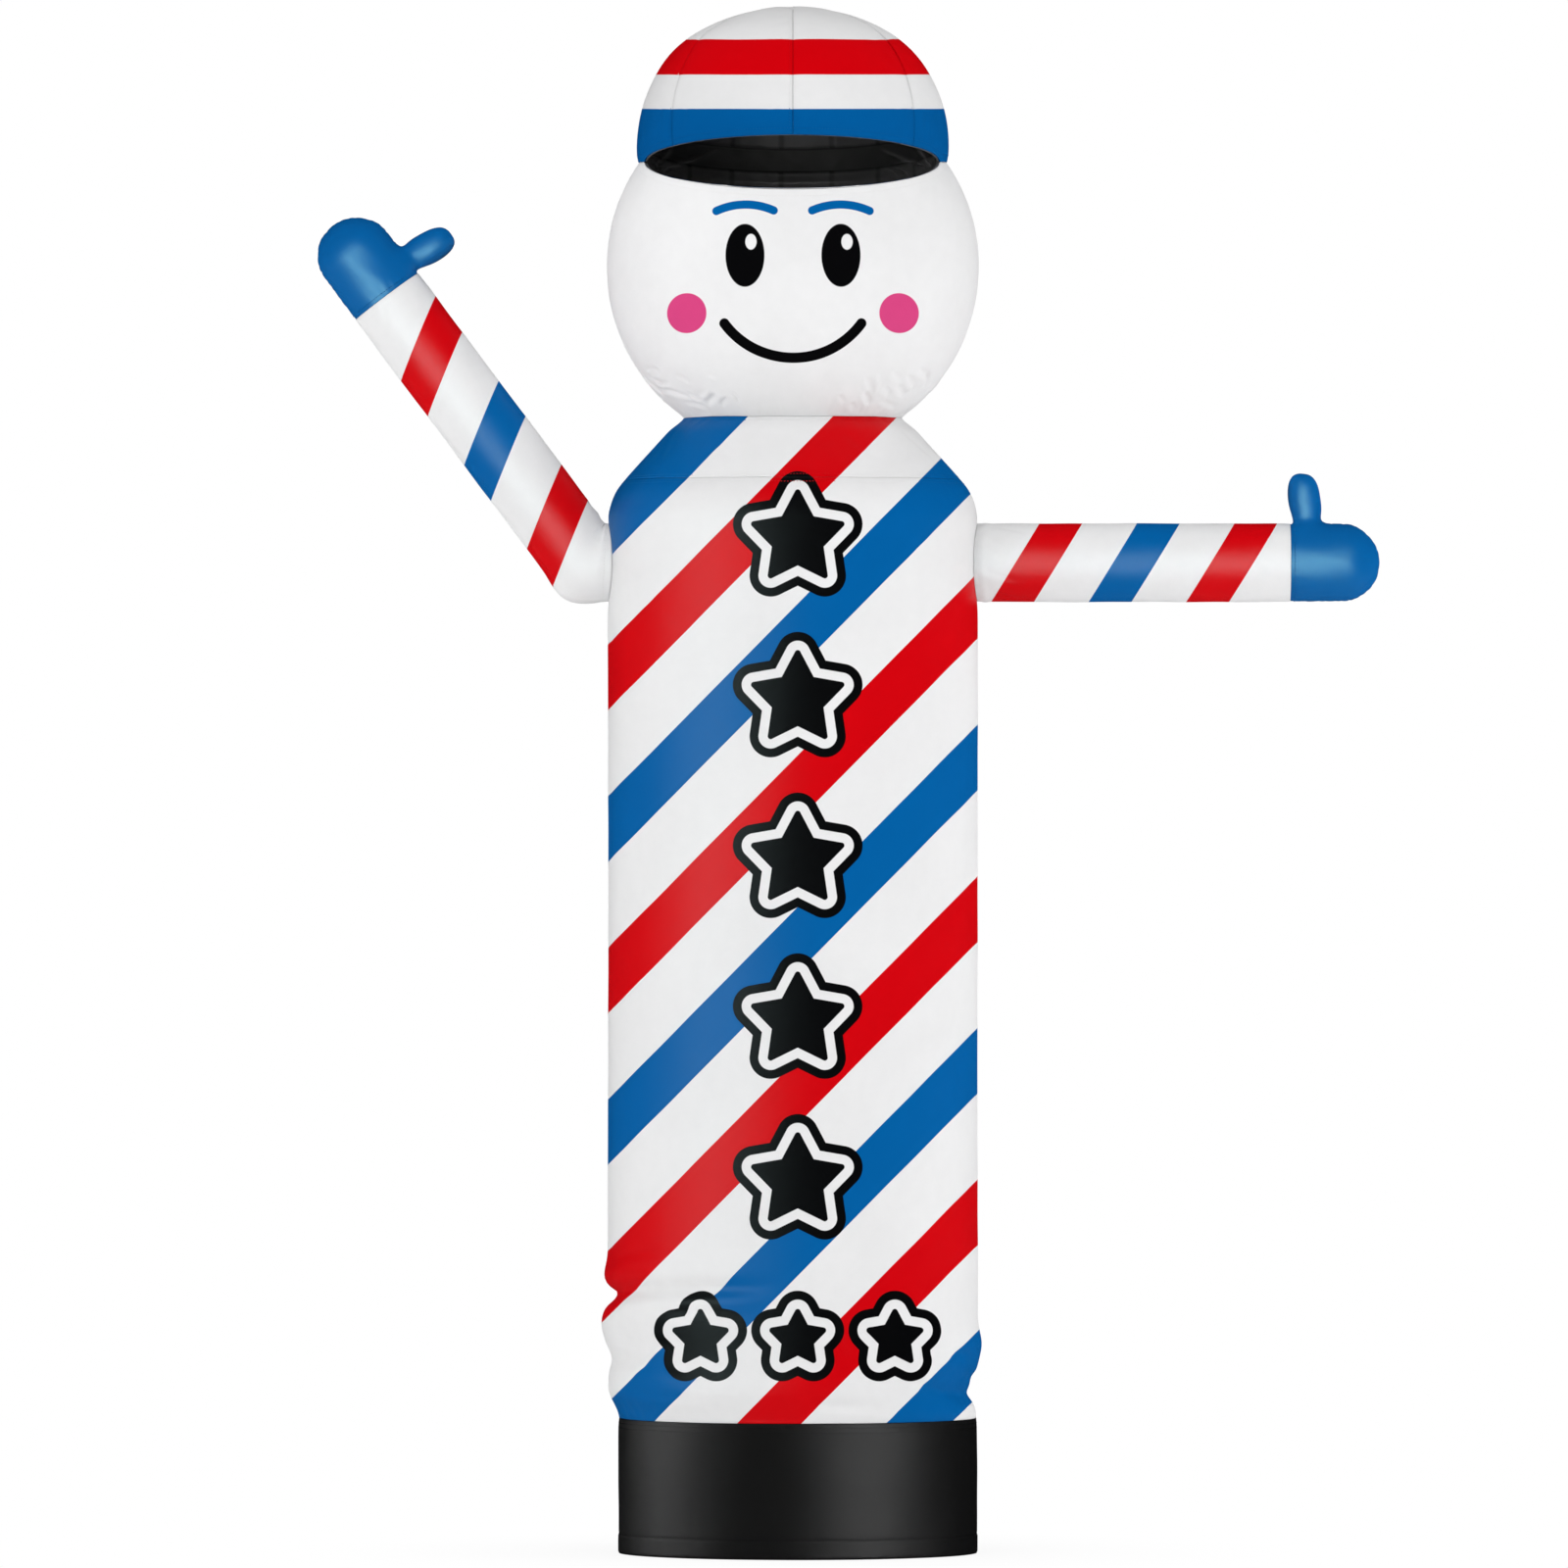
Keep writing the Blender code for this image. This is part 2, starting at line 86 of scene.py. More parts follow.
# The main folds above the collar.
FOLDS = (
    # angle, height, fades over (degrees, metres), stands out, slant in metres for each radian
    {"angle": -100, "height": 0.377, "wide": 46, "tall": 0.018, "out": 0.0050, "slant": -0.010},
    {"angle": -96, "height": 0.350, "wide": 50, "tall": 0.014, "out": -0.0150, "slant": 0.012},
    {"angle": -92, "height": 0.309, "wide": 44, "tall": 0.026, "out": 0.0085, "slant": 0.008},
    {"angle": -84, "height": 0.262, "wide": 34, "tall": 0.015, "out": -0.0060, "slant": 0.010},
    {"angle": 95, "height": 0.280, "wide": 46, "tall": 0.022, "out": 0.0055, "slant": -0.010},
    {"angle": 88, "height": 0.209, "wide": 40, "tall": 0.025, "out": -0.0190, "slant": -0.006},
    {"angle": 12, "height": 0.236, "wide": 30, "tall": 0.020, "out": 0.0035, "slant": 0.014},
    {"angle": 158, "height": 0.330, "wide": 38, "tall": 0.016, "out": -0.0095, "slant": 0.020},
    {"angle": -152, "height": 0.246, "wide": 36, "tall": 0.018, "out": -0.0080, "slant": -0.016},
)

# ---------------------------------------------------------------- the print

RED = (0.630, 0.0002, 0.0034)
BLUE = (0.0002, 0.1120, 0.3650)
# The cap's blue and white are darker copies of BLUE and WHITE: painted shade that offsets the stronger light
# from above on the cap. The head's white is a slightly lighter copy of WHITE: painted light.
CAP_SHADED_BLUE = (0.0002, 0.0990, 0.3270)
WHITE = (0.815, 0.815, 0.820)
HEAD_WHITE = (0.818, 0.818, 0.823)
CAP_SHADED_WHITE = (0.778, 0.778, 0.783)
INK = (0.0025, 0.0025, 0.0030)
PINK = (0.665, 0.0600, 0.2160)
COLLAR_BLACK = (0.0060, 0.0060, 0.0063)
# The lining's colour is a dark grey, much lighter than its black cloth: painted light that stands in for the
# light inside the cap.
LINING_LIGHTENED_BLACK = (0.1150, 0.1150, 0.1170)
# The light that the tube throws on the cloth near it is greyed towards this, as in the photo, where the white
# cloth takes no red or blue from the print.
PALE_BOUNCE = (0.5500, 0.5500, 0.5500)
BOUNCE_GREYED = 0.75

# How a print's bands climb and repeat, how wide they are, where a red and a blue one start, and from which to
# which repeat they are printed.
TUBE_STRIPES = {
    "run": 1.0136,
    "rise": -1.0,
    "period": 0.40841,
    "band": 0.08844,
    "red": 0.15158,
    "blue": 0.35578,
    "first": -50.0,
    "red_last": 50.0,
    "blue_last": 50.0,
}
LEVEL_STRIPES = {
    "run": 1.0,
    "rise": -0.615,
    "period": 0.26255,
    "band": 0.05768,
    "red": 0.0,
    "blue": 0.13121,
    "first": 0.0,
    "red_last": 1.0,
    "blue_last": 0.0,
}
RAISED_STRIPES = {
    "run": 1.0,
    "rise": 0.6,
    "period": 0.2829,
    "band": 0.0602,
    "red": 0.10256,
    "blue": 0.2446,
    "first": 0.0,
    "red_last": 1.0,
    "blue_last": 0.0,
}
# The tube's bands repeat three times round it, so half of that goes from the front to the back.
BACK_PRINT = 1.5 * TUBE_STRIPES["period"] / TUBE_STRIPES["run"]
LEVEL_RED_X = 0.26055  # where the level sleeve's first red stripe meets its lower side
CAP_BANDS = {"red": (1.9906, 2.0381), "blue": (0.0, 1.9444)}  # heights

TAU = math.tau

# The photo's standpoint, and how wide its view is at the figure. What should look straight from there is laid
# out on the flat view that it gives.
EYE_X = -0.0185
EYE_Z = 1.035
FAR = 24.0
VIEW_WIDE = 2.112

# The vent as an oval on that view. Where it ends, the cap and the head are sewn together.
VENT = {"across": -0.0076, "up": 1.8731, "half_wide": 0.1995, "half_tall": 0.0364, "end_y": -0.057}
VENT_END = math.degrees(math.atan2(VENT["half_wide"], -VENT["end_y"]))
VENT_HEM = 0.009  # how far from its edge the cloth along the vent is stitched
SEAM_TURN = (-0.01, 0.06)  # the depths over which the front's seam passes into the tilted one behind

# What the air and the sewing add to the solids' forms. Near the vent's ends the head's rim is drawn in and
# the brim flares. Both fade over some degrees towards the front and towards the back.
COLLAR_LIFT = 0.0038  # how much higher than its solid's edge the full tube draws the collar's seam
YOKE_SWELL = {"out": 0.0052, "starts": 1.405, "full": 1.448, "falls_over": 0.020}
RIM_GIVE = {"metres": 0.0040, "front": 14, "back": 13}
BRIM_GIVE = {"metres": 0.0047, "front": 15, "back": 26}
EDGE_GAP = 0.0001  # how far short of its seam a sheet ends
LINING_INSET = CLOTH + SEAM + 0.0009  # how far the black linings hang inside the outer cloth's face


# ---------------------------------------------------------------- shapes


def smooth_step(low, high, value):
    share = np.clip((value - low) / (high - low), 0, 1)
    return share * share * (3 - 2 * share)


def smooth_min(a, b, blend):
    share = np.clip(0.5 + 0.5 * (b - a) / blend, 0, 1)
    return b + (a - b) * share - blend * share * (1 - share)


def turned(angle):
    """An angle brought between half a turn either way."""
    return (angle + math.pi) % TAU - math.pi


def join_rows(*stretches):
    """One rising list of positions from (low, high, rows) stretches that follow on."""
    rows = [stretches[0][0]]
    for low, high, count in stretches:
        rows += list(np.linspace(low, high, count + 1)[1:])
    return np.array(rows)


def fold(angle, z):
    total = 0
    for row in FOLDS:
        off = turned(angle - math.radians(row["angle"]))
        wide = off / math.radians(row["wide"])
        tall = (z - row["height"] - row["slant"] * off) / row["tall"]
        total = total + row["out"] * np.exp(-wide * wide - tall * tall)
    return total


def foot_share(z):
    return smooth_step(COLLAR_TOP, COLLAR_TOP + FOOT_HEIGHT, z)


def tube_radius(angle, z):
    cone = NECK_RADIUS + SHOULDER_SLOPE * (NECK_Z - z)
    plain = smooth_min(TUBE_RADIUS, cone, SHOULDER_ROUND)
    starts = smooth_step(YOKE_SWELL["starts"], YOKE_SWELL["full"], z)
    falls = 1 - smooth_step(NECK_Z - YOKE_SWELL["falls_over"], NECK_Z, z)
    blown = YOKE_SWELL["out"] * falls * starts
    return COLLAR_RADIUS + (plain + blown + fold(angle, z) - COLLAR_RADIUS) * foot_share(z)


def ball_radius(angle, z):
    plain = np.sqrt(np.maximum(0.0, BALL_RADIUS**2 - (z - BALL_Z) ** 2))
    fade = np.exp(-(((z - PUCKER_Z) / PUCKER_REACH) ** 2)) * smooth_step(NECK_Z, NECK_Z + 0.012, z)
    uneven = 0.65 + 0.35 * np.sin(5 * angle + 0.6)
    wave = np.sin(PUCKERS * angle + 1.3 * np.sin(3 * angle))
    return plain + PUCKER_DEPTH * fade * uneven * wave


def shows_at(x, y, z):
    """Where a place shows on the flat front view. What lies behind the figure's middle keeps its own
    place."""
    grow = FAR / (FAR + np.minimum(y, 0))
    return EYE_X + (x - EYE_X) * grow, EYE_Z + (z - EYE_Z) * grow


def seam_height(x, y, side):
    """How high the cap's edge (side 1) or the head's edge (side -1) lies over a place: along the vent in
    front, then where both are sewn together, and along the cap's tilted seam behind."""
    across = (shows_at(x, y, 0)[0] - VENT["across"]) / VENT["half_wide"]
    gape = np.sqrt(np.maximum(0, 1 - across**2)) * (y < 0)
    shown = VENT["up"] + side * VENT["half_tall"] * gape
    front = EYE_Z + (shown - EYE_Z) * (FAR + np.minimum(y, 0)) / FAR
    behind = CORNER_Z - (y - CORNER_Y) * math.tan(CAP_TILT)
    return front + (behind - front) * smooth_step(*SEAM_TURN, y)


def end_give(off, give):
    """How far an edge gives way, at some degrees behind the vent's end, or in front of it if less than 0."""
    return give["metres"] * np.exp(-((off / np.where(off < 0, give["front"], give["back"])) ** 2))


def rim_give(angle):
    """How far the head's edge is drawn in near the ends of the vent."""
    return end_give(np.degrees(np.abs(angle)) - VENT_END, RIM_GIVE)


def rim_height(angle):
    """Where the ball's skin ends, found by halving a span of heights again and again."""
    low = np.full_like(angle, BALL_Z + 0.08)
    high = np.full_like(angle, BALL_Z + 0.17)
    for _ in range(40):
        z = (low + high) / 2
        radius = np.sqrt(BALL_RADIUS**2 - (z - BALL_Z) ** 2) - rim_give(angle)
        above = z > seam_height(TUBE_X + radius * np.sin(angle), -radius * np.cos(angle), -1)
        low, high = np.where(above, low, z), np.where(above, z, high)
    return z - EDGE_GAP


def stand(radius, angle, z, centre_x):
    """Points at a radius round a vertical line."""
    return np.stack([centre_x + radius * np.sin(angle), -radius * np.cos(angle), z], axis=-1)


# ---------------------------------------------------------------- relief


def pinch(distance, depth, reach):
    """A seam draws the cloth in."""
    return -depth * np.exp(-np.abs(distance) / reach)


def swell(distance, depth, reach):
    """Slack cloth stands out over its seam and hides it."""
    return depth * np.exp(-((distance / reach) ** 2))


def seam_puckers(along, distance, loop, count, reach, depth, seed):
    """Short troughs that run out from a seam, unevenly spaced along it. loop is the seam's length, over which
    they close up again."""
    draw = np.random.default_rng(seed)
    total = np.zeros(np.broadcast(along, distance).shape)
    for number in range(count):
        centre = loop * (number + draw.uniform(-0.38, 0.38)) / count
        wide = loop / count * draw.uniform(0.16, 0.36)
        long = reach * draw.uniform(0.4, 1.5)
        deep = depth * draw.uniform(0.25, 1.0)
        slant = draw.uniform(-0.45, 0.45)
        off = (along - centre + loop / 2) % loop - loop / 2 - slant * distance
        total -= deep * np.exp(-((off / wide) ** 2) - (distance / long) ** 2)
    return total * smooth_step(0, 0.004, distance)


def ring_puckers(radius, angle, distance, **puckers):
    """Seam puckers along a seam that goes round a ring."""
    return seam_puckers(radius * (angle + math.pi), distance, radius * TAU, **puckers)


CREASE_ENDS = (-0.12, 0.25)  # from where to where along it a crease rises out of the cloth at each end
BESIDE = {"share": 0.45, "apart": 1.7}  # the fainter crease beside: how strong, and how many half widths off


def creases(angle, up, radius, rows):
    """Soft troughs and ridges from a table. Each runs from one place to another, given as degrees and metres
    up, with a bow to its left. It stands out or in, and a fainter one of the other sense lies beside it."""
    total = np.zeros(np.broadcast(angle, up).shape)
    for (angle_a, up_a), (angle_b, up_b), out, wide, bow in rows:
        across = radius * turned(angle - math.radians(angle_a))
        run = radius * turned(math.radians(angle_b - angle_a))
        rise = up_b - up_a
        length = math.hypot(run, rise)
        along = (across * run + (up - up_a) * rise) / length**2
        off = ((up - up_a) * run - across * rise) / length - bow * 4 * along * (1 - along)
        ends = smooth_step(*CREASE_ENDS, along) * smooth_step(*CREASE_ENDS, 1 - along)
        near = np.exp(-((off / wide) ** 2))
        near -= BESIDE["share"] * np.exp(-((off / wide + BESIDE["apart"]) ** 2))
        total += out * near * ends
    return total


def billows(angle, up, depth, tall, seed, waves=(3, 5, 7, 11)):
    """Slow swells of slack cloth, long up and down."""
    draw = np.random.default_rng(seed)
    total = np.zeros(np.broadcast(angle, up).shape)
    for wave in waves:
        turn, sway, phase = draw.uniform(0, TAU, 3)
        total += np.sin(wave * angle + turn + 1.4 * np.sin(up / tall * draw.uniform(0.7, 1.4) + sway))
        total += 0.5 * np.sin(up / tall * wave * 0.6 + phase + 1.1 * np.sin(wave * angle + sway))
    return depth * total / len(waves)


def outward(points, ring):
    """The normals of a grid of points."""
    around = np.roll(points, -1, 1) - np.roll(points, 1, 1) if ring else np.gradient(points, axis=1)
    up = np.gradient(points, axis=0)
    normal = np.cross(around, up)
    return normal / np.maximum(np.linalg.norm(normal, axis=2, keepdims=True), 1e-12)


# ---------------------------------------------------------------- meshes


def corner_map(flat):
    """A map's rows of places as four corners for each face."""
    corners = np.stack([flat[:-1, :-1], flat[:-1, 1:], flat[1:, 1:], flat[1:, :-1]], axis=2)
    return corners.reshape(-1, flat.shape[-1])


def add_map(mesh, name, corners):
    layer = mesh.uv_layers.new(name=name)
    layer.data.foreach_set("uv", corners.astype(np.float32).ravel())


def give_painted_light_and_dirt(mesh, values):
    """How much darker each point of the cloth is made: dirt and needle holes along the seams, with painted
    shade there too. Below 0 it is made lighter, as painted light.
    """
    dark = mesh.attributes.new("dirt_and_painted_light", "FLOAT", "POINT")
    dark.data.foreach_set("value", values.astype(np.float32).ravel())


def hang_cloth(name, mesh, material):
    """Puts a mesh in the scene as cloth, whose thickness goes inwards."""
    mesh.materials.append(material)
    mesh.shade_smooth()
    piece = bpy.data.objects.new(name, mesh)
    bpy.context.scene.collection.objects.link(piece)
    wall = piece.modifiers.new("wall", "SOLIDIFY")
    wall.thickness = CLOTH
    wall.offset = -1
    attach(piece, "root")
    return piece


def make_sheet(name, points, material, print_map, cloth_map, dirt_and_painted_light, ring=True):
    """A sheet of cloth with the grid of points as its outer face. A ring's maps have one column more."""
    rows, columns = points.shape[:2]
    index = np.arange(rows * columns).reshape(rows, columns)
    if ring:
        index = np.concatenate([index, index[:, :1]], axis=1)
    faces = corner_map(index[..., None]).reshape(-1, 4)
    mesh = bpy.data.meshes.new(name)
    mesh.from_pydata(points.reshape(-1, 3).tolist(), [], faces.tolist())
    add_map(mesh, "print", corner_map(print_map))
    add_map(mesh, "cloth", corner_map(cloth_map))
    give_painted_light_and_dirt(mesh, np.broadcast_to(dirt_and_painted_light, (rows, columns)))
    return hang_cloth(name, mesh, material)


def nearest_row(rows, height):
    return int(np.argmin(np.abs(rows - height)))


def wrapped(angles):
    """A ring's angles with the first one again, a whole turn on, for its maps."""
    return np.append(angles, angles[0] + TAU)


def ring_angles(columns):
    """From the back, round by the front, to the back."""
    return -math.pi + TAU * np.arange(columns) / columns


def flat_places(across, up):
    return np.stack(np.broadcast_arrays(across, up), axis=-1)


SQUARE_ON = math.radians(85)  # as far round as the print lies square on to the front


def wrap_print(angle, radius):
    """How far a place on a round skin lies from the front on the flat print: square on as far as the sides,
    and spread out behind them so that the stripes meet at the back."""
    turn = np.abs(angle)
    past = np.maximum(turn - SQUARE_ON, 0)
    last = math.pi - SQUARE_ON
    spare = BACK_PRINT - radius * (math.sin(SQUARE_ON) + math.cos(SQUARE_ON) * last)
    in_front = radius * np.sin(np.minimum(turn, SQUARE_ON))
    behind = radius * (math.sin(SQUARE_ON) + math.cos(SQUARE_ON) * past) + spare * (past / last) ** 2
    return np.sign(angle) * np.where(turn < SQUARE_ON, in_front, behind)


def print_places(angle, radius, z, centre_x):
    """Where a round skin's places lie on its flat print."""
    return flat_places(*shows_at(centre_x + wrap_print(angle, radius), -radius * np.cos(angle), z))


# ---------------------------------------------------------------- thread

STITCH = {"pitch": 0.0042, "length": 0.0031, "half_wide": 0.00045, "high": 0.0004, "sunk": 0.00035}
threads = {}


def sew(material, line, normals, prints, closed=True):
    """Lays stitches of one material along a line of points on the cloth. They take the print's colour where
    they lie."""
    prints = prints[: len(line)]
    if closed:
        prints = np.concatenate([prints, prints[:1]])
        line = np.concatenate([line, line[:1]])
        normals = np.concatenate([normals, normals[:1]])
    steps = np.linalg.norm(np.diff(line, axis=0), axis=1)
    reach = np.concatenate([[0], np.cumsum(steps)])
    count = int(reach[-1] / STITCH["pitch"])
    starts = np.arange(count) * reach[-1] / count

    def place(distance, values):
        return np.stack([np.interp(distance, reach, column) for column in values.T], axis=-1)

    shares = (0, 0.22, 0.78, 1)
    spots = [place(starts + STITCH["length"] * share, line) for share in shares]
    normal = place(starts, normals)
    normal /= np.linalg.norm(normal, axis=1, keepdims=True)
    ahead = spots[3] - spots[0]
    side = np.cross(ahead, normal)
    side *= STITCH["half_wide"] / np.linalg.norm(side, axis=1, keepdims=True)
    low = -normal * STITCH["sunk"]
    high = normal * STITCH["high"]
    rings = [spots[0] + low]
    for spot in spots[1:3]:
        rings += [spot + side, spot + high, spot - side, spot + low]
    rings.append(spots[3] + low)
    threads.setdefault(material, []).append((np.stack(rings, axis=1), place(starts, prints)))


STITCH_FACES = (
    [(0, 1 + (k + 1) % 4, 1 + k) for k in range(4)]
    + [(1 + k, 1 + (k + 1) % 4, 5 + (k + 1) % 4, 5 + k) for k in range(4)]
    + [(9, 5 + k, 5 + (k + 1) % 4) for k in range(4)]
)


def make_threads(materials):
    """All the stitches of each material, joined into one piece."""
    for name, lots in threads.items():
        stitches = np.concatenate([lot[0] for lot in lots])
        prints = np.concatenate([lot[1] for lot in lots])
        faces = []
        for first in range(0, len(stitches) * 10, 10):
            faces += [tuple(first + corner for corner in face) for face in STITCH_FACES]
        mesh = bpy.data.meshes.new(f"stitches_{name}")
        mesh.from_pydata(stitches.reshape(-1, 3).tolist(), [], faces)
        corners = sum(len(face) for face in STITCH_FACES)
        add_map(mesh, "print", np.repeat(prints, corners, axis=0))
        mesh.materials.append(materials[name])
        mesh.shade_smooth()
        piece = bpy.data.objects.new(mesh.name, mesh)
        bpy.context.scene.collection.objects.link(piece)
        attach(piece, "root")


# ---------------------------------------------------------------- materials


class Wiring:
    """Adds nodes to a tree and joins them. A value is a number, a tuple or another node's output."""

    def __init__(self, tree):
        self.tree = tree

    def feed(self, socket, value):
        if isinstance(value, bpy.types.NodeSocket):
            self.tree.links.new(value, socket)
        else:
            socket.default_value = value

    def node(self, kind, settings=None, **values):
        made = self.tree.nodes.new(kind)
        for key, value in (settings or {}).items():
            setattr(made, key, value)
        for key, value in values.items():
            self.feed(made.inputs[key.replace("_", " ")], value)
        return made

    def math(self, operation, *values):
        made = self.tree.nodes.new("ShaderNodeMath")
        made.operation = operation
        for socket, value in zip(made.inputs, values):
            self.feed(socket, value)
        return made.outputs[0]

    def length(self, x, y):
        """The length of a flat step."""
        return self.math("SQRT", self.math("ADD", self.math("MULTIPLY", x, x), self.math("MULTIPLY", y, y)))

    def between(self, value, low, high):
        return self.math("MINIMUM", self.math("MAXIMUM", value, low), high)

    def from_nearest(self, value, pitch, first, last):
        """How far a value is from the nearest of a row of places, which are numbered from first to last."""
        number = self.between(self.math("ROUND", self.math("DIVIDE", value, pitch)), first, last)
        return self.math("SUBTRACT", value, self.math("MULTIPLY", number, pitch))

    def blend(self, share, first, second, way="MIX"):
        """A colour between two, or with the way MULTIPLY the first one times the second."""
        made = self.tree.nodes.new("ShaderNodeMix")
        made.data_type = "RGBA"
        made.blend_type = way
        for slot, value in ((0, share), (6, first), (7, second)):
            self.feed(made.inputs[slot], (*value, 1) if isinstance(value, tuple) else value)
        return made.outputs[2]

    def shaded(self, colour, shade):
        """A colour made darker or lighter by a number."""
        grey = self.node("ShaderNodeCombineXYZ", X=shade, Y=shade, Z=shade).outputs[0]
        return self.blend(1.0, colour, grey, "MULTIPLY")

    def under(self, value, edge, soft=0.0003):
        """A mask of the places where a value is less than an edge, softened a little."""
        made = self.tree.nodes.new("ShaderNodeMapRange")
        if isinstance(edge, (int, float)):
            edges = (edge - soft, edge + soft)
        else:
            edges = (self.math("SUBTRACT", edge, soft), self.math("ADD", edge, soft))
        for socket, given in zip(made.inputs, (value, *edges, 1.0, 0.0)):
            self.feed(socket, given)
        return made.outputs[0]

    def parts(self, vector):
        """A vector's three numbers."""
        return self.node("ShaderNodeSeparateXYZ", Vector=vector).outputs

    def group(self, tree, **values):
        """A placed group's outputs, given its inputs."""
        return self.node("ShaderNodeGroup", {"node_tree": tree}, **values).outputs


def new_group(name, inputs, outputs):
    """An empty node group with named number or vector sockets, its wiring, what it is given and what to feed
    as its outputs."""
    tree = bpy.data.node_groups.new(name, "ShaderNodeTree")
    for way, sockets in (("INPUT", inputs), ("OUTPUT", outputs)):
        for socket, kind in sockets.items():
            tree.interface.new_socket(socket, in_out=way, socket_type=f"NodeSocket{kind}")
    wiring = Wiring(tree)
    given = wiring.node("NodeGroupInput").outputs
    result = wiring.node("NodeGroupOutput").inputs
    return tree, wiring, given, result


def make_weave_group():
    """Plain weave, with threads over and under each other, on a flat map in metres."""
    tree, w, given, result = new_group(
        "plain_weave", {"Place": "Vector", "Thread": "Float"}, {"Height": "Float", "Gaps": "Float"}
    )
    x, y, _ = w.parts(given["Place"])
    across = w.math("SINE", w.math("DIVIDE", w.math("MULTIPLY", x, math.pi), given["Thread"]))
    along = w.math("SINE", w.math("DIVIDE", w.math("MULTIPLY", y, math.pi), given["Thread"]))
    over = w.math("GREATER_THAN", w.math("MULTIPLY", across, along), 0.0)
    warp = w.math("MULTIPLY", w.math("ABSOLUTE", across), over)
    weft = w.math("MULTIPLY", w.math("ABSOLUTE", along), w.math("SUBTRACT", 1.0, over))
    height = w.math("ADD", warp, weft)
    w.feed(result["Height"], height)
    w.feed(result["Gaps"], w.under(height, 0.35, 0.25))
    return tree


def make_used_look_and_painted_light_group():
    """Slow uneven tone of used cloth, and a darker line along seams, partly dirt and needle holes and partly
    painted shade. Where the seam value is below 0 the cloth is painted lighter, as painted light.
    """
    tree, w, given, result = new_group(
        "used_cloth_and_painted_light",
        {"Place": "Vector", "Seam": "Float", "Strength": "Float"},
        {"Shade": "Float", "Dullness": "Float", "Crumple": "Float"},
    )
    cloud = w.node("ShaderNodeTexNoise", Vector=given["Place"], Scale=7.0, Detail=3.0, Roughness=0.55)
    grain = w.node("ShaderNodeTexNoise", Vector=given["Place"], Scale=55.0, Detail=4.0, Roughness=0.6)
    slow = w.math("MULTIPLY", w.math("SUBTRACT", cloud.outputs["Fac"], 0.5), 0.10)
    fine = w.math("MULTIPLY", w.math("SUBTRACT", grain.outputs["Fac"], 0.5), 0.05)
    uneven = w.math("MULTIPLY", w.math("ADD", slow, fine), given["Strength"])
    # The seam value darkens the colour, partly as dirt and partly as painted shade, and lightens it as
    # painted light where it is below 0.
    painted_light_with_dirt = w.math("MULTIPLY", given["Seam"], 0.30)
    w.feed(result["Shade"], w.math("SUBTRACT", w.math("ADD", 1.0, uneven), painted_light_with_dirt))
    rubbed = w.math("MULTIPLY", slow, 0.6)
    seam_dullness = w.math("MULTIPLY", given["Seam"], 0.08)
    w.feed(result["Dullness"], w.math("ADD", rubbed, seam_dullness))
    small = w.math("MULTIPLY", grain.outputs["Fac"], 0.35)
    w.feed(result["Crumple"], w.math("ADD", cloud.outputs["Fac"], small))
    return tree


def make_stripe_group():
    """Red and blue bands that repeat across a flat print. Run and Rise say how the bands climb, and First,
    Red last and Blue last which of them are printed."""
    names = ("Run", "Rise", "Period", "Band", "Red start", "Red last", "Blue start", "Blue last", "First")
    inputs = {"Place": "Vector", **{name: "Float" for name in names}}
    tree, w, given, result = new_group("slanted_stripes", inputs, {"Red": "Float", "Blue": "Float"})
    x, y, _ = w.parts(given["Place"])
    across = w.math("ADD", w.math("MULTIPLY", x, given["Run"]), w.math("MULTIPLY", y, given["Rise"]))
    half = w.math("MULTIPLY", given["Band"], 0.5)
    for colour in ("Red", "Blue"):
        middle = w.math("ADD", given[f"{colour} start"], half)
        off = w.math("SUBTRACT", across, middle)
        off = w.from_nearest(off, given["Period"], given["First"], given[f"{colour} last"])
        w.feed(result[colour], w.under(w.math("ABSOLUTE", off), half))
    return tree


def make_star_group():
    """How far a place lies outside a five-pointed star of a given reach, or inside it if less than 0."""
    tree, w, given, result = new_group(
        "star_distance", {"Across": "Float", "Up": "Float", "Reach": "Float"}, {"Distance": "Float"}
    )
    sector = TAU / 5
    x = w.math("DIVIDE", given["Across"], given["Reach"])
    y = w.math("DIVIDE", given["Up"], given["Reach"])
    turn = w.math("ARCTAN2", x, y)
    arm = w.math("MULTIPLY", w.math("ROUND", w.math("DIVIDE", turn, sector)), sector)
    near = w.math("ABSOLUTE", w.math("SUBTRACT", turn, arm))
    off = w.length(x, y)
    along = w.math("SUBTRACT", w.math("MULTIPLY", off, w.math("COSINE", near)), 1.0)
    side = w.math("MULTIPLY", off, w.math("SINE", near))
    notch = 0.52  # how near the middle the star's inner corners lie
    edge_x = notch * math.cos(sector / 2) - 1
    edge_y = notch * math.sin(sector / 2)
    square = edge_x**2 + edge_y**2
    dot = w.math("ADD", w.math("MULTIPLY", along, edge_x / square), w.math("MULTIPLY", side, edge_y / square))
    share = w.between(dot, 0.0, 1.0)
    left = w.math("SUBTRACT", along, w.math("MULTIPLY", share, edge_x))
    up = w.math("SUBTRACT", side, w.math("MULTIPLY", share, edge_y))
    gap = w.length(left, up)
    cross = w.math("SUBTRACT", w.math("MULTIPLY", side, edge_x), w.math("MULTIPLY", along, edge_y))
    signed = w.math("MULTIPLY", gap, w.math("MULTIPLY", w.math("SIGN", cross), -1.0))
    w.feed(result["Distance"], w.math("MULTIPLY", signed, given["Reach"]))
    return tree


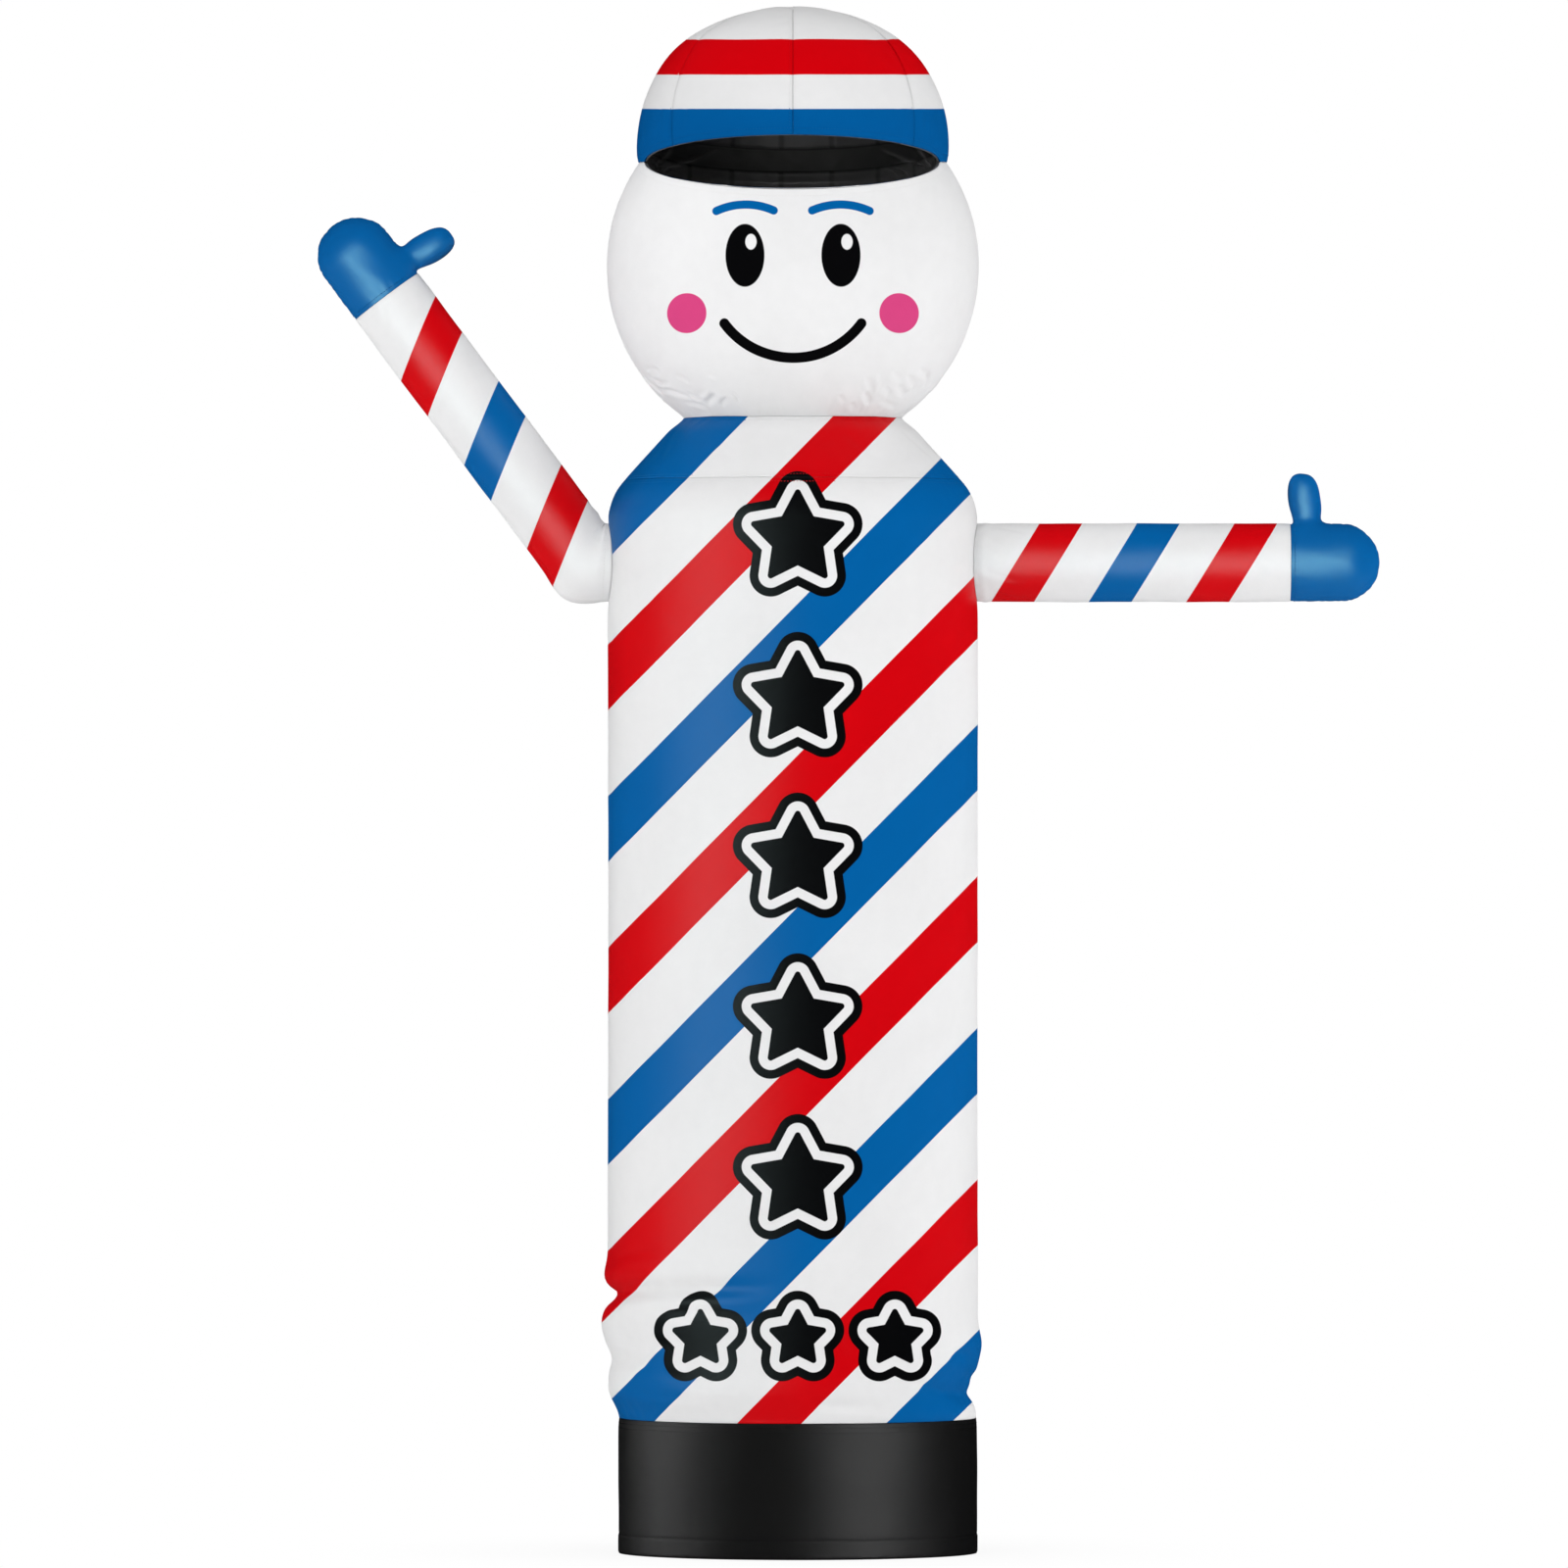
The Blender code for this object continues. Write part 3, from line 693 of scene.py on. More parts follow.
def cloth_shader(
    w, colour, weave, used_and_painted_look, roughness, gloss, thread, bump, crumple, strength=1.0, sheen=(1, 1, 1)
):
    """Finishes a cloth material: the print's colour with its uneven tone, dirt and painted light, the weave's
    relief and the sheen.
    """
    shader = w.tree.nodes["Principled BSDF"]
    place = w.node("ShaderNodeUVMap", {"uv_map": "cloth"}).outputs[0]
    seam = w.node("ShaderNodeAttribute", {"attribute_name": "dirt_and_painted_light"}).outputs["Fac"]
    used_and_painted_tone = w.group(used_and_painted_look, Place=place, Seam=seam, Strength=strength)
    woven = w.group(weave, Place=place, Thread=thread)
    # Painted shade: the weave's gaps are made 6% darker. The tone from the seam value adds painted shade
    # along seams, painted light in the lining, and dirt.
    lit = w.math("SUBTRACT", used_and_painted_tone["Shade"], w.math("MULTIPLY", woven["Gaps"], 0.06))
    w.feed(shader.inputs["Base Color"], w.shaded(colour, lit))
    w.feed(shader.inputs["Roughness"], w.math("ADD", roughness, used_and_painted_tone["Dullness"]))
    fine = w.node("ShaderNodeBump", Strength=0.35, Distance=bump, Height=woven["Height"]).outputs[0]
    soft = w.node("ShaderNodeBump", Strength=0.5, Distance=crumple, Height=used_and_painted_tone["Crumple"], Normal=fine)
    w.feed(shader.inputs["Normal"], soft.outputs[0])
    shader.inputs["Specular IOR Level"].default_value = gloss
    shader.inputs["Specular Tint"].default_value = (*sheen, 1)


def new_material(name):
    """A material and its wiring."""
    material = bpy.data.materials.new(name)
    material.use_nodes = True
    return material, Wiring(material.node_tree)


NYLON = {"roughness": 0.40, "gloss": 0.04, "thread": 0.0006, "bump": 0.00012, "crumple": 0.0010}
SHEEN = (0.75, 1, 1)  # the printed and dyed cloth shines a little bluish


def striped(w, stripes, group):
    """White cloth's colour with the bands over it, and where the print lies."""
    place = w.node("ShaderNodeUVMap", {"uv_map": "print"}).outputs[0]
    bands = w.group(
        group,
        Place=place,
        Run=stripes["run"],
        Rise=stripes["rise"],
        Period=stripes["period"],
        Band=stripes["band"],
        Red_start=stripes["red"],
        Red_last=stripes["red_last"],
        Blue_start=stripes["blue"],
        Blue_last=stripes["blue_last"],
        First=stripes["first"],
    )
    colour = w.blend(bands["Red"], WHITE, RED)
    return w.blend(bands["Blue"], colour, BLUE), place


# Black stars with a white and a black edge, down the front and in a row at the foot.
COLUMN = {"lowest": 0.500, "pitch": 0.2165, "last": 4.0, "reach": 0.062}
ROW = {"height": 0.288, "pitch": 0.131, "last": 1.0, "reach": 0.036}
STAR_EDGES = ((0.0285, INK), (0.0165, WHITE), (0.004, INK))  # how far past the star each ink spreads


def star_print(w, colour, place, stars):
    """Stars over the stripes: black inside, then a white and a black edge."""
    x, y, _ = w.parts(place)
    up = w.from_nearest(w.math("SUBTRACT", y, COLUMN["lowest"]), COLUMN["pitch"], 0.0, COLUMN["last"])
    column = w.group(stars, Across=x, Up=up, Reach=COLUMN["reach"])["Distance"]
    across = w.from_nearest(x, ROW["pitch"], -ROW["last"], ROW["last"])
    up = w.math("SUBTRACT", y, ROW["height"])
    row = w.group(stars, Across=across, Up=up, Reach=ROW["reach"])["Distance"]
    distance = w.math("MINIMUM", column, row)
    for spread, ink in STAR_EDGES:
        colour = w.blend(w.under(distance, spread), colour, ink)
    return colour


# A plain smiling face: two upright oval eyes with a glint, blue brows, pink cheeks and a curved mouth.
EYES = {"apart": 0.064, "height": 1.740, "half_wide": 0.0260, "half_tall": 0.0420}
GLINT = {"across": 0.008, "up": 0.018, "half_wide": 0.0075, "half_tall": 0.0105}
BROWS = {"below": 0.026, "radius": 0.094, "half_line": 0.0056, "spread": 0.42}
CHEEKS = {"apart": 0.142, "height": 1.664, "radius": 0.0265}
SMILE = {"height": 1.718, "radius": 0.114, "half_line": 0.0068, "spread": 0.93}


def inside_oval(w, x, y, half_wide, half_tall):
    a = w.math("DIVIDE", x, half_wide)
    b = w.math("DIVIDE", y, half_tall)
    soft = 0.0004 / half_wide  # 0.4 mm as a share of the oval
    return w.under(w.length(a, b), 1.0, soft)


def inside_arc(w, x, y, radius, half_line, spread, way):
    """An arc with round ends, over the place where x and y are 0 (way 1) or under it (way -1). x isn't less
    than 0."""
    y = w.math("MULTIPLY", y, float(way))
    line = w.math("ABSOLUTE", w.math("SUBTRACT", w.length(x, y), radius))
    turn = w.math("ARCTAN2", x, y)
    dx = w.math("SUBTRACT", x, radius * math.sin(spread))
    dy = w.math("SUBTRACT", y, radius * math.cos(spread))
    end = w.length(dx, dy)
    on_line = w.math("MULTIPLY", w.under(line, half_line), w.under(turn, spread, 0.001))
    return w.math("MAXIMUM", on_line, w.under(end, half_line))


def face_print(w, colour, place):
    x, y, _ = w.parts(place)
    x = w.math("SUBTRACT", x, TUBE_X)
    side = w.math("ABSOLUTE", x)
    eye_x = w.math("SUBTRACT", x, w.math("MULTIPLY", w.math("SIGN", x), EYES["apart"]))
    eye_y = w.math("SUBTRACT", y, EYES["height"])
    cheek_x = w.math("SUBTRACT", side, CHEEKS["apart"])
    cheek_y = w.math("SUBTRACT", y, CHEEKS["height"])
    cheek = inside_oval(w, cheek_x, cheek_y, CHEEKS["radius"], CHEEKS["radius"])
    eye = inside_oval(w, eye_x, eye_y, EYES["half_wide"], EYES["half_tall"])
    glint_x = w.math("SUBTRACT", eye_x, GLINT["across"])
    glint_y = w.math("SUBTRACT", eye_y, GLINT["up"])
    glint = inside_oval(w, glint_x, glint_y, GLINT["half_wide"], GLINT["half_tall"])
    brow_x = w.math("ABSOLUTE", eye_x)
    brow_y = w.math("ADD", eye_y, BROWS["below"])
    brow = inside_arc(w, brow_x, brow_y, BROWS["radius"], BROWS["half_line"], BROWS["spread"], 1)
    smile_y = w.math("SUBTRACT", y, SMILE["height"])
    smile = inside_arc(w, side, smile_y, SMILE["radius"], SMILE["half_line"], SMILE["spread"], -1)
    for mask, ink in ((cheek, PINK), (brow, BLUE), (eye, INK), (smile, INK), (glint, WHITE)):
        colour = w.blend(mask, colour, ink)
    return colour


def banded(w):
    """The cap's bands, by height."""
    height = w.parts(w.node("ShaderNodeUVMap", {"uv_map": "print"}).outputs[0])[1]
    colour = CAP_SHADED_WHITE
    for ink, (low, high) in ((RED, CAP_BANDS["red"]), (CAP_SHADED_BLUE, CAP_BANDS["blue"])):
        off = w.math("ABSOLUTE", w.math("SUBTRACT", height, (low + high) / 2))
        colour = w.blend(w.under(off, (high - low) / 2), colour, ink)
    return colour


def finish_thread(w, colour):
    """Twisted thread in the colour of the cloth that it is sewn through."""
    shader = w.tree.nodes["Principled BSDF"]
    where = w.node("ShaderNodeTexCoord").outputs["Object"]
    twist = w.node("ShaderNodeTexNoise", Vector=where, Scale=900.0, Detail=2.0).outputs["Fac"]
    shade = w.math("ADD", w.math("MULTIPLY", twist, 0.14), 0.90)
    w.feed(shader.inputs["Base Color"], w.shaded(colour, shade))
    ply = w.node("ShaderNodeBump", Strength=0.4, Distance=0.0002, Height=twist)
    w.feed(shader.inputs["Normal"], ply.outputs[0])
    shader.inputs["Roughness"].default_value = 0.5
    shader.inputs["Specular IOR Level"].default_value = 0.2


def make_materials():
    weave = make_weave_group()
    used_and_painted_look = make_used_look_and_painted_light_group()
    stripes = make_stripe_group()
    stars = make_star_group()
    nylon = {"weave": weave, "used_and_painted_look": used_and_painted_look, **NYLON}
    made = {}

    made["tube_print"], w = new_material("tube_print")
    colour, place = striped(w, TUBE_STRIPES, stripes)
    colour = star_print(w, colour, place, stars)
    bounced = w.math("MULTIPLY", w.node("ShaderNodeLightPath").outputs["Is Diffuse Ray"], BOUNCE_GREYED)
    cloth_shader(w, w.blend(bounced, colour, PALE_BOUNCE), **nylon, sheen=SHEEN)

    taut = {**nylon, "roughness": 0.36, "gloss": 0.048, "sheen": SHEEN}
    for side, stripe in (("level", LEVEL_STRIPES), ("raised", RAISED_STRIPES)):
        made[f"{side}_print"], w = new_material(f"{side}_sleeve_print")
        cloth_shader(w, striped(w, stripe, stripes)[0], **taut)

    made["cap_print"], w = new_material("cap_print")
    cloth_shader(w, banded(w), **nylon)

    made["head_print"], w = new_material("head_print")
    place = w.node("ShaderNodeUVMap", {"uv_map": "print"}).outputs[0]
    cloth_shader(w, face_print(w, HEAD_WHITE, place), **nylon)

    made["mitt_blue"], w = new_material("blue_mitt_nylon")
    cloth_shader(w, BLUE, **{**nylon, "gloss": 0.16}, sheen=(0.45, 1, 1))

    made["collar_black"], w = new_material("black_collar_cloth")
    heavy = {"roughness": 0.42, "gloss": 0.50, "thread": 0.0011, "bump": 0.00022, "crumple": 0.0006}
    cloth_shader(w, COLLAR_BLACK, weave, used_and_painted_look, **heavy, strength=2.0)

    made["lining_black"], w = new_material("black_lining_cloth")
    dull = {"roughness": 0.46, "gloss": 0.50, "thread": 0.0007, "bump": 0.00012, "crumple": 0.0016}
    cloth_shader(w, LINING_LIGHTENED_BLACK, weave, used_and_painted_look, **dull, strength=2.0)

    for name, stripe in (("tube", TUBE_STRIPES), ("level", LEVEL_STRIPES), ("raised", RAISED_STRIPES)):
        made[f"{name}_thread"], w = new_material(f"{name}_thread")
        finish_thread(w, striped(w, stripe, stripes)[0])
    made["cap_thread"], w = new_material("cap_thread")
    finish_thread(w, banded(w))
    for name, colour in (("white", HEAD_WHITE), ("black", COLLAR_BLACK), ("blue", BLUE)):
        made[f"{name}_thread"], w = new_material(f"{name}_thread")
        finish_thread(w, colour)
    return made


# ---------------------------------------------------------------- collar

HEM = 0.026  # height of the collar's hem


def make_collar(materials):
    top = COLLAR_TOP + COLLAR_LIFT - EDGE_GAP
    rows = join_rows(
        (0, 0.004, 4),
        (0.004, HEM - 0.004, 6),
        (HEM - 0.004, HEM + 0.004, 8),
        (HEM + 0.004, top - 0.02, 22),
        (top - 0.02, top, 16),
    )
    angles = ring_angles(240)
    angle, z = np.meshgrid(angles, rows)
    points = stand(np.full_like(angle, COLLAR_RADIUS), angle, z, 0.0)
    to_top = top - z
    to_hem = np.abs(z - HEM)
    relief = pinch(to_top, depth=0.0012, reach=0.006)
    relief += ring_puckers(COLLAR_RADIUS, angle, to_top, count=70, reach=0.016, depth=0.0007, seed=11)
    relief += ring_puckers(COLLAR_RADIUS, angle, to_hem, count=90, reach=0.008, depth=0.0005, seed=12)
    relief += 0.0007 * (1 - smooth_step(HEM - 0.003, HEM + 0.002, z))  # the hem is double
    relief -= swell(to_hem, depth=0.0006, reach=0.0016)  # and its stitches sink in
    relief += billows(angle, z, depth=0.0007, tall=0.09, seed=13, waves=(3, 5, 8, 13))
    relief -= 0.0011 * (1 - smooth_step(0, 0.004, z)) ** 2  # the turned lower edge
    normals = outward(points, True)
    points = points + relief[..., None] * normals
    points[0, :, 2] = 0.0
    wide = wrapped(angles)
    flat = flat_places(COLLAR_RADIUS * wide[None, :], rows[:, None])
    # Darker at the top seam and along the hem: partly dirt, partly painted shade.
    dark = 0.8 * np.exp(-to_top / 0.003) + 0.5 * np.exp(-((to_hem / 0.002) ** 2))
    piece = make_sheet("collar_cloth", points, materials["collar_black"], flat, flat, dark)
    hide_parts("collar")
    for height in (HEM, top - 0.006, top - 0.012):
        row = nearest_row(rows, height)
        sew("black_thread", points[row], normals[row], flat[row])
    return piece


# ---------------------------------------------------------------- tube and yoke

# From, to (degrees, metres up), out, half width, bow.
TUBE_CREASES = (
    ((-68, 0.354), (-8, 0.362), -0.0052, 0.0105, 0.003),
    ((-58, 0.336), (-30, 0.331), -0.0016, 0.0060, -0.003),
    ((-80, 0.392), (-44, 0.410), -0.0016, 0.0070, 0.003),
    ((-76, 0.300), (-40, 0.286), -0.0018, 0.0070, -0.004),
    ((-70, 0.262), (-36, 0.240), -0.0017, 0.0065, 0.004),
    ((-64, 0.225), (-28, 0.214), -0.0015, 0.0055, -0.003),
    ((10, 0.335), (16, 0.262), -0.0020, 0.0085, 0.003),
    ((24, 0.322), (20, 0.275), -0.0013, 0.0060, 0.002),
    ((6, 0.205), (34, 0.199), -0.0024, 0.0060, 0.002),
    ((40, 0.236), (70, 0.216), -0.0021, 0.0065, -0.003),
    ((46, 0.275), (78, 0.262), -0.0018, 0.0070, 0.003),
    ((52, 0.310), (84, 0.330), -0.0014, 0.0075, 0.003),
    ((118, 0.215), (150, 0.250), -0.0012, 0.0070, 0.004),
    ((128, 0.300), (168, 0.345), -0.0012, 0.0080, -0.004),
    ((172, 0.262), (-160, 0.232), -0.0011, 0.0070, 0.004),
    ((-172, 0.380), (-136, 0.352), -0.0010, 0.0080, -0.004),
    ((-140, 0.300), (-112, 0.322), -0.0012, 0.0065, 0.003),
    ((-128, 0.225), (-104, 0.205), -0.0010, 0.0060, 0.003),
    ((-112, 0.363), (-66, 0.360), 0.0046, 0.0110, 0.000),
    ((72, 0.238), (104, 0.234), -0.0032, 0.0080, 0.000),
    ((72, 0.208), (104, 0.206), 0.0018, 0.0110, 0.000),
    ((60, 1.330), (30, 1.372), -0.0007, 0.0090, 0.004),
    ((62, 1.300), (34, 1.262), -0.0006, 0.0090, -0.004),
    ((-60, 1.340), (-28, 1.376), -0.0007, 0.0090, -0.004),
    ((-62, 1.292), (-30, 1.236), -0.0006, 0.0090, 0.004),
    ((118, 1.345), (150, 1.390), -0.0008, 0.0090, 0.004),
    ((122, 1.296), (152, 1.240), -0.0007, 0.0090, -0.004),
    ((-118, 1.345), (-148, 1.384), -0.0008, 0.0090, -0.004),
    ((-120, 1.300), (-154, 1.236), -0.0007, 0.0090, 0.004),
)
ARMHOLE_DIP = 0.0008


def tube_relief(angle, z):
    """What both the tube and the yoke add to their skins. The yoke seam runs between them."""
    seam = np.abs(z - YOKE_SEAM)
    relief = pinch(seam, depth=0.0003, reach=0.005)
    relief += ring_puckers(TUBE_RADIUS, angle, seam, count=64, reach=0.020, depth=0.0007, seed=21)
    calm = smooth_step(0, 0.05, z - COLLAR_TOP) * smooth_step(0, 0.05, NECK_Z - z)
    relief += billows(angle, z, depth=0.00075, tall=0.16, seed=22, waves=(4, 7, 11, 16)) * calm
    return relief


def make_tube(materials):
    top = YOKE_SEAM - EDGE_GAP
    rows = join_rows(
        (COLLAR_TOP, COLLAR_TOP + 0.012, 6),
        (COLLAR_TOP + 0.012, 0.44, 54),  # the folds
        (0.44, 1.24, 56),
        (1.24, top - 0.02, 32),  # the armholes
        (top - 0.02, top, 10),
    )
    angles = ring_angles(224)
    angle, z = np.meshgrid(angles, rows)
    centre = TUBE_X * foot_share(z)
    radius = tube_radius(angle, z)
    z = z + COLLAR_LIFT * (1 - smooth_step(0, 0.05, z - COLLAR_TOP))
    points = stand(radius, angle, z, centre)
    up = z - COLLAR_TOP - COLLAR_LIFT
    relief = tube_relief(angle, z) + pinch(up, depth=0.0010, reach=0.006)
    relief += ring_puckers(TUBE_RADIUS, angle, up, count=76, reach=0.022, depth=0.0011, seed=23)
    relief += creases(angle, z, TUBE_RADIUS, TUBE_CREASES)
    x, y, height = np.moveaxis(points, -1, 0)
    to_middle = np.hypot(y, height - SLEEVE_Z)
    to_hole = np.maximum(to_middle - SLEEVE_RADIUS, 0)
    relief *= smooth_step(SLEEVE_RADIUS, SLEEVE_RADIUS + 0.02, to_middle)
    relief += pinch(to_hole, depth=ARMHOLE_DIP, reach=0.006)
    turn = np.arctan2(y, height - SLEEVE_Z) + np.where(x > 0, 0.0, 2.0)  # the two holes' puckers differ
    loop = SLEEVE_RADIUS * TAU
    spokes = seam_puckers(SLEEVE_RADIUS * turn, to_hole, loop, count=26, reach=0.016, depth=0.0009, seed=24)
    relief += spokes * (to_middle < 0.12)
    normals = outward(points, True)
    points = points + relief[..., None] * normals
    wide = wrapped(angles)
    ring_radius = np.hstack([radius, radius[:, :1]])
    print_map = print_places(wide[None, :], ring_radius, z[:, :1], centre[:, :1])
    cloth_map = flat_places(TUBE_RADIUS * wide[None, :], z[:, :1])
    # Darker at the yoke seam, at the collar seam and round the armholes: partly dirt, partly painted shade.
    dark = 0.12 * np.exp(-(top - z) / 0.002) + 0.4 * np.exp(-up / 0.003)
    dark = dark + 0.12 * np.exp(-np.abs(to_middle - SLEEVE_RADIUS) / 0.003)
    piece = make_sheet("tube_cloth", points, materials["tube_print"], print_map, cloth_map, dark)
    cut_armholes(piece)
    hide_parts("body_tube")
    row = nearest_row(rows, top - 0.006)
    sew("tube_thread", points[row], normals[row], print_map[row])
    return piece


def cut_armholes(piece):
    """Cuts the holes that the sleeves are sewn round, and keeps the cut mesh."""
    bpy.ops.mesh.primitive_cylinder_add(
        vertices=96,
        radius=ARMHOLE_RADIUS,
        depth=0.7,
        location=(TUBE_X, 0, SLEEVE_Z),
        rotation=(0, math.pi / 2, 0),
    )
    cutter = bpy.context.object
    holes = piece.modifiers.new("armholes", "BOOLEAN")
    holes.operation = "DIFFERENCE"
    holes.solver = "EXACT"
    holes.object = cutter
    bpy.context.view_layer.update()
    cut = bpy.data.meshes.new_from_object(piece.evaluated_get(bpy.context.evaluated_depsgraph_get()))
    piece.modifiers.clear()
    piece.data = cut
    bpy.data.objects.remove(cutter)


YOKE_MIDDLE = 0.18  # the radius where the yoke's creases lie
YOKE_CREASES = (
    ((-36, 1.500), (-22, 1.462), -0.0007, 0.0060, 0.002),
    ((24, 1.506), (38, 1.464), -0.0007, 0.0060, -0.002),
    ((60, 1.512), (70, 1.470), -0.0008, 0.0060, 0.002),
    ((-72, 1.512), (-60, 1.476), -0.0008, 0.0060, -0.002),
    ((140, 1.510), (128, 1.468), -0.0008, 0.0060, 0.002),
    ((-150, 1.508), (-138, 1.466), -0.0008, 0.0060, -0.002),
)


def make_yoke(materials):
    low = YOKE_SEAM
    top = NECK_Z - EDGE_GAP
    rows = join_rows((low, low + 0.016, 8), (low + 0.016, top - 0.014, 12), (top - 0.014, top, 8))
    angles = ring_angles(224)
    angle, z = np.meshgrid(angles, rows)
    radius = tube_radius(angle, z)
    points = stand(radius, angle, z, TUBE_X)
    slant = math.hypot(1, SHOULDER_SLOPE)
    to_neck = (NECK_Z - z) * slant
    relief = tube_relief(angle, z) + swell(to_neck, depth=0.0006, reach=0.004)
    relief += ring_puckers(NECK_RADIUS, angle, to_neck, count=44, reach=0.014, depth=0.0008, seed=31)
    relief += creases(angle, z, YOKE_MIDDLE, YOKE_CREASES)
    normals = outward(points, True)
    points = points + relief[..., None] * normals
    wide = wrapped(angles)
    ring_radius = np.hstack([radius, radius[:, :1]])
    print_map = print_places(wide[None, :], ring_radius, rows[:, None], TUBE_X)
    cloth_map = flat_places(ring_radius * wide[None, :], rows[:, None] * slant)
    # Darker at the yoke seam and at the neck: partly dirt, partly painted shade.
    dark = 0.12 * np.exp(-(z - low) / 0.002) + 0.10 * np.exp(-to_neck / 0.002)
    piece = make_sheet("yoke_cloth", points, materials["tube_print"], print_map, cloth_map, dark)
    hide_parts("shoulder_yoke")
    for height in (low + 0.0045, top - 0.0045):
        row = nearest_row(rows, height)
        sew("tube_thread", points[row], normals[row], print_map[row])
    return piece


# ---------------------------------------------------------------- head

# The crinkles of the chin, which the neck seam gathers: from, to, out, half width, bow. Places are metres
# across from the tube's middle and up, as they show from the front.
CHIN_CREASES = (
    ((-0.198, 1.591), (-0.182, 1.592), -0.0026, 0.0042, 0.001),
    ((-0.195, 1.584), (-0.175, 1.571), -0.0020, 0.0036, 0.001),
    ((-0.191, 1.577), (-0.166, 1.575), -0.0013, 0.0032, -0.001),
    ((-0.183, 1.566), (-0.154, 1.562), -0.0020, 0.0034, 0.001),
    ((-0.158, 1.584), (-0.141, 1.577), -0.0011, 0.0034, 0.001),
    ((-0.144, 1.562), (-0.128, 1.553), -0.0018, 0.0034, -0.001),
    ((-0.146, 1.549), (-0.118, 1.542), -0.0015, 0.0030, 0.001),
    ((-0.115, 1.588), (-0.101, 1.580), -0.0010, 0.0032, 0.001),
    ((-0.106, 1.559), (-0.119, 1.547), -0.0032, 0.0036, 0.001),
    ((-0.088, 1.554), (-0.098, 1.544), -0.0025, 0.0033, -0.001),
    ((-0.084, 1.563), (-0.075, 1.551), -0.0011, 0.0030, 0.001),
    ((0.062, 1.558), (0.070, 1.547), -0.0012, 0.0030, 0.001),
    ((0.078, 1.547), (0.085, 1.540), -0.0021, 0.0030, 0.000),
    ((0.097, 1.562), (0.105, 1.546), -0.0030, 0.0036, 0.001),
    ((0.099, 1.582), (0.107, 1.566), -0.0013, 0.0030, 0.000),
    ((0.111, 1.585), (0.114, 1.563), 0.0017, 0.0032, 0.001),
    ((0.123, 1.568), (0.131, 1.559), -0.0017, 0.0032, 0.001),
    ((0.120, 1.552), (0.141, 1.542), -0.0014, 0.0030, -0.001),
    ((0.134, 1.588), (0.149, 1.576), -0.0020, 0.0036, 0.001),
    ((0.140, 1.573), (0.152, 1.560), -0.0022, 0.0036, -0.001),
    ((0.155, 1.584), (0.165, 1.568), -0.0023, 0.0036, 0.001),
    ((0.170, 1.595), (0.184, 1.579), -0.0025, 0.0040, 0.001),
    ((0.186, 1.595), (0.178, 1.568), -0.0020, 0.0036, -0.001),
)
# The same at the sides and back, from and to as degrees and metres up, and two soft ones near the cap.
HEAD_CREASES = (
    ((-64, 1.560), (-52, 1.552), -0.0015, 0.0040, 0.002),
    ((64, 1.566), (54, 1.552), -0.0015, 0.0040, -0.002),
    ((82, 1.590), (72, 1.560), -0.0018, 0.0042, 0.002),
    ((104, 1.582), (96, 1.556), -0.0018, 0.0042, -0.002),
    ((115, 1.566), (108, 1.548), -0.0020, 0.0038, 0.002),
    ((128, 1.600), (120, 1.562), -0.0020, 0.0042, 0.002),
    ((138, 1.570), (146, 1.552), -0.0018, 0.0036, 0.002),
    ((150, 1.584), (142, 1.556), -0.0018, 0.0042, 0.002),
    ((172, 1.592), (168, 1.556), -0.0019, 0.0042, -0.002),
    ((-176, 1.562), (-170, 1.550), -0.0018, 0.0036, 0.002),
    ((-84, 1.592), (-76, 1.558), -0.0018, 0.0042, -0.002),
    ((-94, 1.566), (-90, 1.550), -0.0018, 0.0036, 0.002),
    ((-106, 1.584), (-98, 1.556), -0.0018, 0.0042, 0.002),
    ((-130, 1.598), (-121, 1.560), -0.0020, 0.0042, -0.002),
    ((-152, 1.588), (-146, 1.556), -0.0019, 0.0042, 0.002),
    ((-60, 1.842), (-50, 1.806), -0.0009, 0.0060, 0.002),
    ((62, 1.838), (52, 1.806), -0.0009, 0.0060, -0.002),
)


CHIN_MIDDLE = 0.190  # the ball's radius where the chin's creases lie
HEAD_MIDDLE = 0.205  # and where the others lie


def on_ball(across, up):
    """The angle and the height of the place on the ball that shows at a place on the front view."""
    radius = math.sqrt(BALL_RADIUS**2 - (up - BALL_Z) ** 2)
    outline = 0.995 * radius
    across = max(-outline, min(outline, across))
    depth = math.sqrt(radius**2 - across**2)
    return math.degrees(math.asin(across / radius)), EYE_Z + (up - EYE_Z) * (FAR - depth) / FAR


def rows_to_rim(angles, low_rows, middle_count, top_gaps):
    """Heights for each angle: fixed ones above the neck, fixed gaps below the rim, and even steps between."""
    rim = rim_height(angles)
    low = np.asarray(low_rows)[:, None] + 0 * rim[None, :]
    top = rim[None, :] - np.asarray(top_gaps)[:, None]
    share = (np.arange(1, middle_count + 1) / (middle_count + 1))[:, None]
    middle = low[-1] + (top[0] - low[-1]) * share
    return np.concatenate([low, middle, top])


RIM_GAPS = (0.022, 0.017, 0.0125, VENT_HEM, 0.006, 0.0042, 0.0026, 0.0012, 0.0)


def sewn_share(y):
    """1 where the head and the cap are sewn together, and 0 along the open vent."""
    return smooth_step(VENT["end_y"] - 0.006, VENT["end_y"] + 0.006, y)


def vent_edge(gap):
    """The turned edge along the vent, and the line that its stitches draw in."""
    return pinch(gap, depth=0.0006, reach=0.001) - swell(gap - VENT_HEM, depth=0.0004, reach=0.0014)


